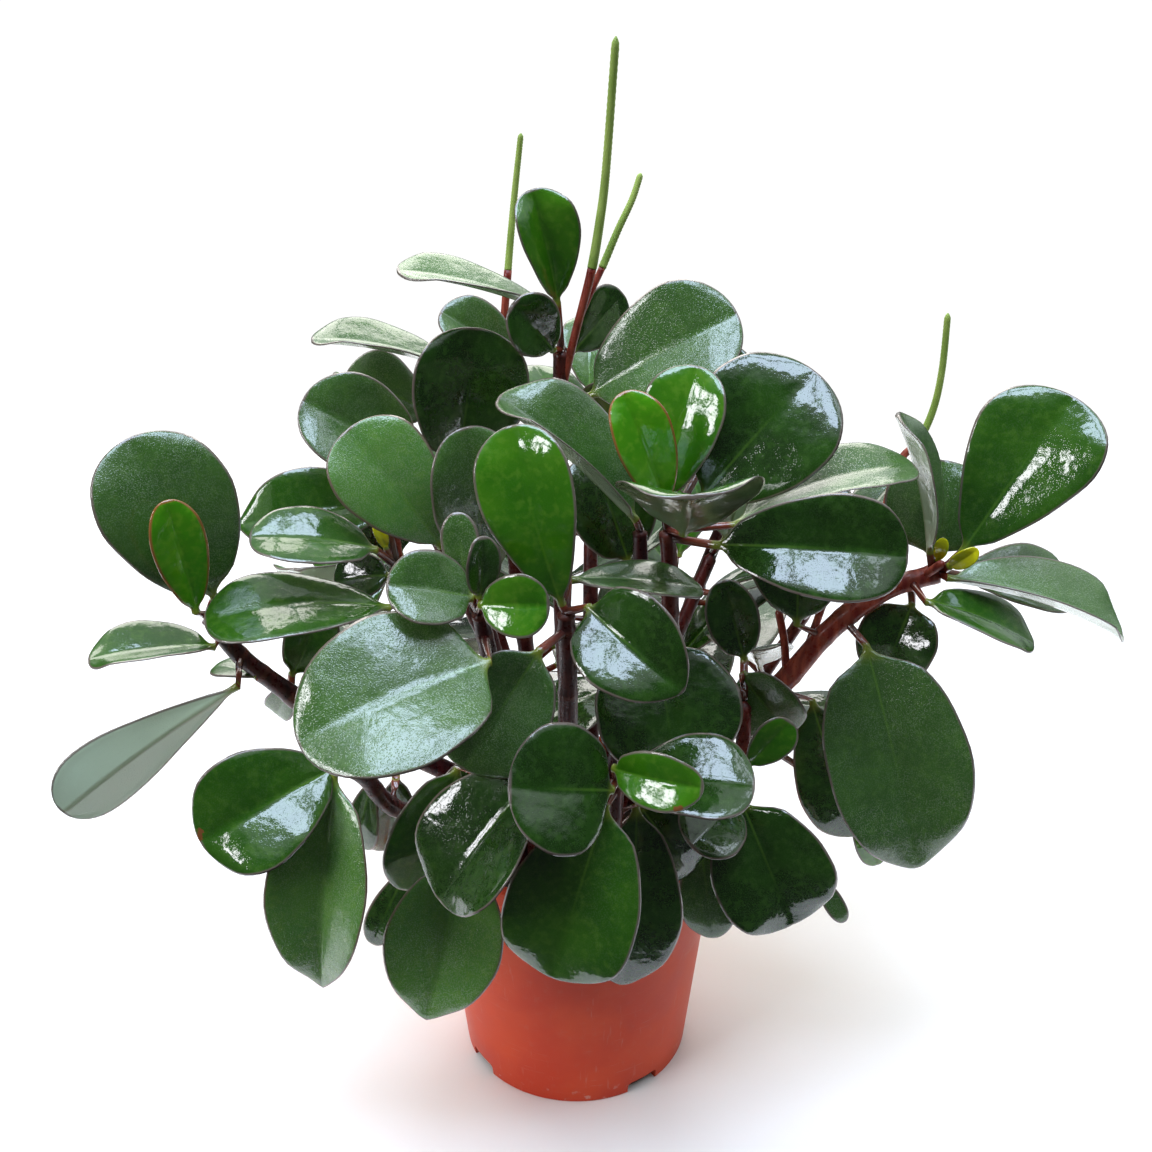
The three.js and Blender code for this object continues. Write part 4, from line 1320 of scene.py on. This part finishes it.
# %% [markdown]
# ## Grow the stems
# Each stem starts well under the top of the soil, goes straight up to it and then
# follows its curve. It carries a scar at each leaf, and old scars lower down where
# leaves have dropped. The stem on the right is the freshest and reddest.

# %% The stems with their scars
STEM_STEP_MM = 1.6
STEM_SUNK, SUNK_RINGS = 22.0, 6
SOLID_STEPS = 2
STEM_SEEDS = 500
FRESH_STEM, FRESHEST, FRESH_VARIES = "stem_right", 0.9, 0.3
FIRST_SCAR, FIRST_VARIES = 12, 6
SCARS_APART, APART_VARIES = 18, 22
BARE_SHARE = 0.7


def old_scars(curve, draw):
    """Places on the bare lower part of a stem where leaves have dropped."""
    scars, length = [], line_length(curve)
    next_scar = FIRST_SCAR + FIRST_VARIES * draw()
    for k, point in enumerate(curve):
        if next_scar < k * length / (len(curve) - 1) < BARE_SHARE * length:
            scars.append(point)
            next_scar += SCARS_APART + APART_VARIES * draw()
    return scars


stem_skins = {}
for number, (name, stem) in enumerate(ALL_STEMS.items()):
    way = stem_ways[name]
    count = max(8, round(line_length(stem_lines[name]) / STEM_STEP_MM))
    curve = through(way, count)
    root = Vector((*stem["foot"], SOIL_TOP - STEM_SUNK))
    line = [root.lerp(curve[0], k / SUNK_RINGS) for k in range(SUNK_RINGS)] + curve
    low, high = stem["thick"]
    sunk_share = 1 / (SOLID_STEPS * (len(way) - 1) + 1)

    def thick_at(k, low=low, high=high, sunk_share=sunk_share, count=count):
        share = sunk_share * k / SUNK_RINGS
        if k >= SUNK_RINGS:
            share = sunk_share + (1 - sunk_share) * (k - SUNK_RINGS) / count
        return low + (high - low) * share

    draw = draws_from(number + STEM_SEEDS)
    scars = [nearest_on(stem_lines[name], leaf.base) for _, _, leaf in leaves[name]]
    scars += old_scars(curve, draw)
    fresh = FRESHEST if name == FRESH_STEM else FRESH_VARIES * draw()
    stem_skins[name] = Skin()
    add_stem(stem_skins[name], line, thick_at, scars, fresh, draw)
print(len(stem_skins), "stems grown")

# %% [markdown]
# ## Side stalks and the stalks of the spikes
# Two stems carry short bare side stalks that are too thin for the solids. The red
# stalks of the flower spikes are thin stems too, cut off blunt where the green
# spike begins. All of them join the skin of the stem that they grow from.

# %% Thin stalks
SIDE_STALKS = {
    "stem_right": [
        [(806, 652, -16), (818, 618, -8), (830, 584, 2)],
        [(786, 668, -15), (784, 640, -12), (778, 608, -8)],
        [(918, 580, -19), (944, 562, -27)],
    ],
    "stem_left": [[(404, 590, -28), (397, 545, -24), (392, 508, -20)]],
}
SIDE_STALK_RADIUS, SIDE_STALK_STEPS, SIDE_STALK_SEEDS = 1.5, 16, 600
SPIKE_STALK_STEPS, SPIKE_STALK_FRESH, SPIKE_STALK_SEED = 10, 0.85, 7

for name, stalks in SIDE_STALKS.items():
    for number, places in enumerate(stalks):
        way = through([seen(place) for place in places], SIDE_STALK_STEPS)
        draw = draws_from(SIDE_STALK_SEEDS + number)
        add_stem(stem_skins[name], way, lambda k: SIDE_STALK_RADIUS, [], FRESHEST, draw)

spike_lines = {}
for name, spike in SPIKES.items():
    way = [seen(p) for p in spike["stalk"] + spike["spike"][1:]]
    fine = through(way, (len(way) - 1) * SPIKE_STALK_STEPS)
    seat = (len(spike["stalk"]) - 1) * SPIKE_STALK_STEPS
    spike_lines[name] = fine[seat:]
    radius = spike["thick"][0]
    skin, draw = stem_skins[spike["on"]], draws_from(SPIKE_STALK_SEED)
    add_stem(skin, fine[: seat + 1], lambda k, radius=radius: radius, [], SPIKE_STALK_FRESH, draw, True)
for name, skin in stem_skins.items():
    skin.piece(name + "_wood", FLESHY_STEM, "stems", [name])
print(sum(len(stalks) for stalks in SIDE_STALKS.values()), "side stalks and", len(SPIKES), "spike stalks")

# %% [markdown]
# ## The flower spikes
# Each spike is a thin green rod, set all round with tiny flowers that look like
# pimples in slanting rows. At arm's length they only break up the outline and
# the shine. So every second corner of a fine mesh is raised, and the others are
# sunk, by less than a tenth of a mm.


# %% The spikes' finish
SPIKE_GREEN, SPIKE_LIGHT, SPIKE_FLOWER = "#8eaa48", "#a6be5c", "#a4b470"


def spike_finish():
    green = Finish("pimpled_spike", IOR=1.45)
    speck = green.fade(green.spots(0.7), 0.4, 0.1)
    colour = green.mix(green.fade(green.grain(14, 2), 0.35, 0.65), SPIKE_GREEN, SPIKE_LIGHT)
    colour = green.mix(green.times(speck, 0.35), colour, SPIKE_FLOWER)
    rough = green.fade(speck, 0, 1, 0.62, 0.45)
    return green.wear(Base_Color=colour, Roughness=rough, Normal=green.bump(speck, 0.08, 0.7))


PIMPLED_SPIKE = spike_finish()
print("spike finish has", len(PIMPLED_SPIKE.node_tree.nodes), "nodes")

# %% [markdown]
# The rod follows the green part of its line. It starts a hair's breadth above its
# stalk, so that the two skins don't lie in one another, and ends in a round tip.

# %% Pimpled spikes
SPIKE_SIDES, SPIKE_STEP_MM = 12, 0.55
PIMPLE = 0.07
SPIKE_GAP = 0.05
TIP_ROUNDING, TIP_LEAST = 1.4, 0.02

for name, spike in SPIKES.items():
    count = round(line_length(spike_lines[name]) / SPIKE_STEP_MM)
    line = through(spike_lines[name], count)
    line[0] = line[0] + (line[1] - line[0]).normalized() * SPIKE_GAP
    _, wide, narrow = spike["thick"]

    def radius_at(k, turn, wide=wide, narrow=narrow, count=count):
        side = round(turn * SPIKE_SIDES / (2 * math.pi))
        pimple = PIMPLE if (side + k) % 2 else -PIMPLE
        end = min(1, math.sqrt((count - k) * SPIKE_STEP_MM / TIP_ROUNDING + TIP_LEAST))
        return (wide + (narrow - wide) * k / count + pimple) * end

    skin = Skin()
    skin.tube(list(tube_rings(line, radius_at, SPIKE_SIDES)))
    skin.piece(name + "_flowers", PIMPLED_SPIKE, "spikes", [name])
print(len(SPIKES), "spikes made")

# %% [markdown]
# ## The pot
# A nursery pot is a thin, moulded plastic cup with a rolled rim, and notches at
# its foot that let water out. It is round, so turning a profile of radii and
# heights gives the wall, the floor and the rim at once. Small arcs round off each
# edge, because moulded plastic has no sharp ones.

# %% Turn a profile
POT_FOOT_RADIUS, POT_TAPER, POT_WALL, POT_FLOOR = 46.0, 0.108, 1.3, 1.6
POT_HEIGHT, POT_RIM_RADIUS, POT_RIM_DEPTH = 105.0, 60.0, 8.0
POT_SIDES = 160


def arc(across, high, radius, start, end, steps=5):
    """Places on an arc round a middle that is so far across and so high, in degrees."""
    turns = [math.radians(start + (end - start) * k / steps) for k in range(steps + 1)]
    return [(across + radius * math.cos(t), high + radius * math.sin(t)) for t in turns]


def turned(profile, sides):
    """A closed solid from (radius, height) places, first and last on the axis."""
    corners = [Vector((0, 0, profile[0][1]))]
    rings = profile[1:-1]
    turns = [2 * math.pi * s / sides for s in range(sides)]
    for radius, high in rings:
        corners += [Vector((radius * math.cos(t), radius * math.sin(t), high)) for t in turns]
    corners.append(Vector((0, 0, profile[-1][1])))
    faces, last = [], len(corners) - 1
    for s in range(sides):
        beside = (s + 1) % sides
        faces.append((0, 1 + beside, 1 + s))
        faces.append((last, last - sides + s, last - sides + beside))
        for r in range(len(rings) - 1):
            a, b = 1 + r * sides + s, 1 + r * sides + beside
            faces.append((a, b, b + sides, a + sides))
    return corners, faces


wall_top = POT_HEIGHT - POT_RIM_DEPTH
outer_top = POT_FOOT_RADIUS + POT_TAPER * wall_top
inner_foot = POT_FOOT_RADIUS - POT_WALL
foot_edge = arc(POT_FOOT_RADIUS - 0.7, 0.8, 0.8, -90, 0)
outer_wall = [(POT_FOOT_RADIUS + POT_TAPER * high, high) for high in (6, 20, 35, 50, 65, 80, 94)]
under_rim = arc(outer_top + 0.5, wall_top - 0.4, 0.8, 180, 90, 3)
rim_below = arc(POT_RIM_RADIUS - 1.2, wall_top + 1.4, 1.2, -90, 0)
rim_above = arc(POT_RIM_RADIUS - 1.6, POT_HEIGHT - 1.6, 1.6, 0, 90)
rim_inside = arc(outer_top + 1.2, POT_HEIGHT - 0.9, 0.9, 90, 180, 3)
inner_wall = [(outer_top - POT_WALL + 0.4, wall_top), (inner_foot + 0.3, POT_FLOOR + 1.5)]
inner_floor = [(inner_foot - 1.2, POT_FLOOR), (0, POT_FLOOR)]
pot_profile = [(0, 0), *foot_edge, *outer_wall, *under_rim, *rim_below, *rim_above, *rim_inside]
pot_profile += inner_wall + inner_floor
pot_skin = Skin()
pot_skin.corners, pot_skin.faces = turned(pot_profile, POT_SIDES)
print("pot's profile has", len(pot_profile), "places")

# %% [markdown]
# ## The pot's finish
# The plastic is a slightly cloudy terracotta red with a satin shine. Use has left
# fine scratches up and round it, a thin dust, and pale scuffs at the foot, where it
# stood on the ground. A picture could carry these too, but noise has no seams.

# %% The plastic's finish
POT_RED, POT_CLOUD, POT_DUST = "#ca3d1d", "#d54b27", "#c2705c"
POT_SCRATCH, POT_SCUFF = "#d28d7a", "#dcbcae"
SCUFFS_UP_TO = 0.010


def pot_finish():
    plastic = Finish("terracotta_plastic", Specular_IOR_Level=0.22)
    cloud = plastic.fade(plastic.grain(26, 3), 0.35, 0.7)
    colour = plastic.mix(cloud, POT_RED, POT_CLOUD)
    colour = plastic.mix(plastic.fade(plastic.grain(3.2, 5), 0.55, 0.85, 0, 0.2), colour, POT_DUST)
    up_it, round_it = plastic.stretched((1, 1, 0.05)), plastic.stretched((0.07, 0.07, 1))
    scratch_up = plastic.fade(plastic.grain(1.4, 4, up_it), 0.62, 0.72)
    scratch_round = plastic.fade(plastic.grain(1.2, 4, round_it), 0.64, 0.72)
    scratches = plastic.math("MAXIMUM", scratch_up, scratch_round)
    worn = plastic.times(scratches, plastic.fade(plastic.grain(18, 2), 0.45, 0.7, 0.05, 0.5))
    colour = plastic.mix(worn, colour, POT_SCRATCH)
    height = plastic.node("ShaderNodeSeparateXYZ", Vector=plastic.place).outputs["Z"]
    low = plastic.fade(height, SCUFFS_UP_TO, 0.0)
    scuffs = plastic.times(low, plastic.fade(plastic.grain(4.5, 5), 0.6, 0.7))
    colour = plastic.mix(plastic.times(scuffs, 0.6), colour, POT_SCUFF)
    rough = plastic.plus(plastic.fade(cloud, 0, 1, 0.36, 0.46), plastic.times(worn, 0.3))
    shell = plastic.plus(plastic.grain(0.5, 2), plastic.times(scratches, -0.6))
    return plastic.wear(Base_Color=colour, Roughness=rough, Normal=plastic.bump(shell, 0.05, 0.5))


PLASTIC = pot_finish()
print("pot finish has", len(PLASTIC.node_tree.nodes), "nodes")

# %% [markdown]
# ## The notches in the foot
# Four arched notches let the water out. They have straight sides, which a turned
# profile can't give, so four bars are taken away from the pot with booleans. The
# bars are removed once the pot's own mesh is cut.

# %% Cut the notches
NOTCH_WIDTH, NOTCH_HEIGHT, NOTCH_REACH, NOTCH_ROUND = 14.0, 5.0, 7.0, 1.8
NOTCH_TURNS = (35, 125, 215, 305)
SHARP_FROM = math.radians(38)


def notch_cutter(turn):
    """A bar with an arched top, as wide and as high as one notch."""
    half, top = NOTCH_WIDTH / 2, NOTCH_HEIGHT
    outline = [(-half, -top), (half, -top)]
    outline += arc(half - NOTCH_ROUND, top - NOTCH_ROUND, NOTCH_ROUND, 0, 90, 4)
    outline += arc(-half + NOTCH_ROUND, top - NOTCH_ROUND, NOTCH_ROUND, 90, 180, 4)
    angle = math.radians(turn)
    out = Vector((math.sin(angle), -math.cos(angle), 0))
    side = Vector((math.cos(angle), math.sin(angle), 0))
    near, far = POT_FOOT_RADIUS - NOTCH_REACH, POT_FOOT_RADIUS + NOTCH_REACH
    skin = Skin()
    skin.tube([[out * reach + side * a + UP * b for a, b in outline] for reach in (near, far)])
    return skin


cutters = []
for turn in NOTCH_TURNS:
    cutters.append(notch_cutter(turn).piece(f"cutter_{turn}", PLASTIC, "pot_plastic", []))
pot = pot_skin.piece("nursery_pot", PLASTIC, "pot_plastic", ["pot"])
for cutter in cutters:
    cut = pot.modifiers.new("notch", "BOOLEAN")
    cut.operation, cut.solver, cut.object = "DIFFERENCE", "EXACT", cutter
carved = bpy.data.meshes.new_from_object(pot.evaluated_get(bpy.context.evaluated_depsgraph_get()))
pot.modifiers.clear()
pot.data = carved
carved.set_sharp_from_angle(angle=SHARP_FROM)
for cutter in cutters:
    bpy.data.objects.remove(cutter)
print("pot has", len(carved.polygons), "faces")

# %% [markdown]
# ## The soil
# Peat mix is dark and crumbly. Its top is a fine net of rings, heaved by noise,
# with loose crumbs on it. They are real shapes, because from above the crumbs
# stand out against the light. The body fills the pot, a hair inside its wall.

# %% Heaved soil with crumbs
SOIL_SIDES, SOIL_RINGS, SOIL_BOTTOM = 120, 34, 1.95
FIT_GAP, SOIL_EDGE, SOIL_DIP = 0.35, 3, 0.9
HEAVE, HEAVE_WIDE, ROUGHNESS, ROUGH_WIDE = 1.5, 9, 0.8, 2.6
CRUMBS, CRUMB_SIDES, CRUMB_TOP, CRUMB_SEED = 420, 7, 1.6, 93
CRUMB_SIZE, CRUMB_LARGER, CRUMB_LEAST, CRUMB_UNEVEN = 0.5, 1.3, 0.75, 0.5
CRUMB_LEVELS = ((-0.6, 0.5), (-0.1, 1.0), (0.5, 0.75), (0.8, 0.25))


def wall_at(height):
    """The soil's radius at a height: the pot's inner wall, less a small gap."""
    return POT_FOOT_RADIUS + POT_TAPER * height - POT_WALL - FIT_GAP


def soil_height(x, y):
    place = Vector((x, y, 0))
    heave = HEAVE * noise.noise(place / HEAVE_WIDE) + ROUGHNESS * noise.noise(place / ROUGH_WIDE)
    return SOIL_TOP - SOIL_DIP + heave


def crumb(skin, x, y, size, draw):
    """A lump with seven uneven sides, sunk a little in the soil."""
    rings = []
    for level, share in CRUMB_LEVELS:
        high = min(soil_height(x, y) + size * level, SOIL_TOP + CRUMB_TOP)
        ring = []
        for s in range(CRUMB_SIDES):
            turn = 2 * math.pi * s / CRUMB_SIDES
            across = size * share * math.cos(turn) * (CRUMB_LEAST + CRUMB_UNEVEN * draw())
            ahead = size * share * math.sin(turn) * (CRUMB_LEAST + CRUMB_UNEVEN * draw())
            ring.append(Vector((x + across, y + ahead, high)))
        rings.append(ring)
    skin.tube(rings)


side_top = SOIL_TOP - SOIL_EDGE
soil_profile = [(0, SOIL_BOTTOM), (wall_at(SOIL_BOTTOM), SOIL_BOTTOM), (wall_at(side_top), side_top)]
soil_profile += [(wall_at(SOIL_TOP) * (1 - k / SOIL_RINGS), SOIL_TOP) for k in range(SOIL_RINGS)]
soil_profile.append((0, SOIL_TOP))
soil_skin = Skin()
soil_skin.corners, soil_skin.faces = turned(soil_profile, SOIL_SIDES)
for corner in soil_skin.corners:
    if corner.z >= SOIL_TOP:
        corner.z = soil_height(corner.x, corner.y)
draw = draws_from(CRUMB_SEED)
for _ in range(CRUMBS):
    reach = (wall_at(SOIL_TOP) - SOIL_EDGE) * math.sqrt(draw())
    turn = 2 * math.pi * draw()
    size = CRUMB_SIZE + CRUMB_LARGER * draw() ** 2
    crumb(soil_skin, reach * math.cos(turn), reach * math.sin(turn), size, draw)
print("soil has", CRUMBS, "crumbs")

# %% [markdown]
# The peat's colour is dark brown with lighter fibres between the crumbs, and a few
# pale specks of bark. It has next to no shine.

# %% The peat's finish
PEAT_DARK, PEAT_LIGHT, BARK_SPECK = "#1a120d", "#4a3626", "#8a7258"


def soil_finish():
    peat = Finish("peat_mix", Specular_IOR_Level=0.2)
    crumbs = peat.grain(2.4, 6)
    colour = peat.mix(peat.fade(crumbs, 0.35, 0.65), PEAT_DARK, PEAT_LIGHT)
    colour = peat.mix(peat.fade(peat.spots(1.9), 0.16, 0.05, 0, 0.6), colour, BARK_SPECK)
    return peat.wear(Base_Color=colour, Roughness=0.95, Normal=peat.bump(crumbs, 0.8, 0.9))


soil = soil_skin.piece("peat_soil", soil_finish(), "soil", ["soil"])
print(soil.name, "has", len(soil.data.polygons), "faces")

# %% [markdown]
# ## The size
# The dressed plant fills the box of its solids to within a mm.
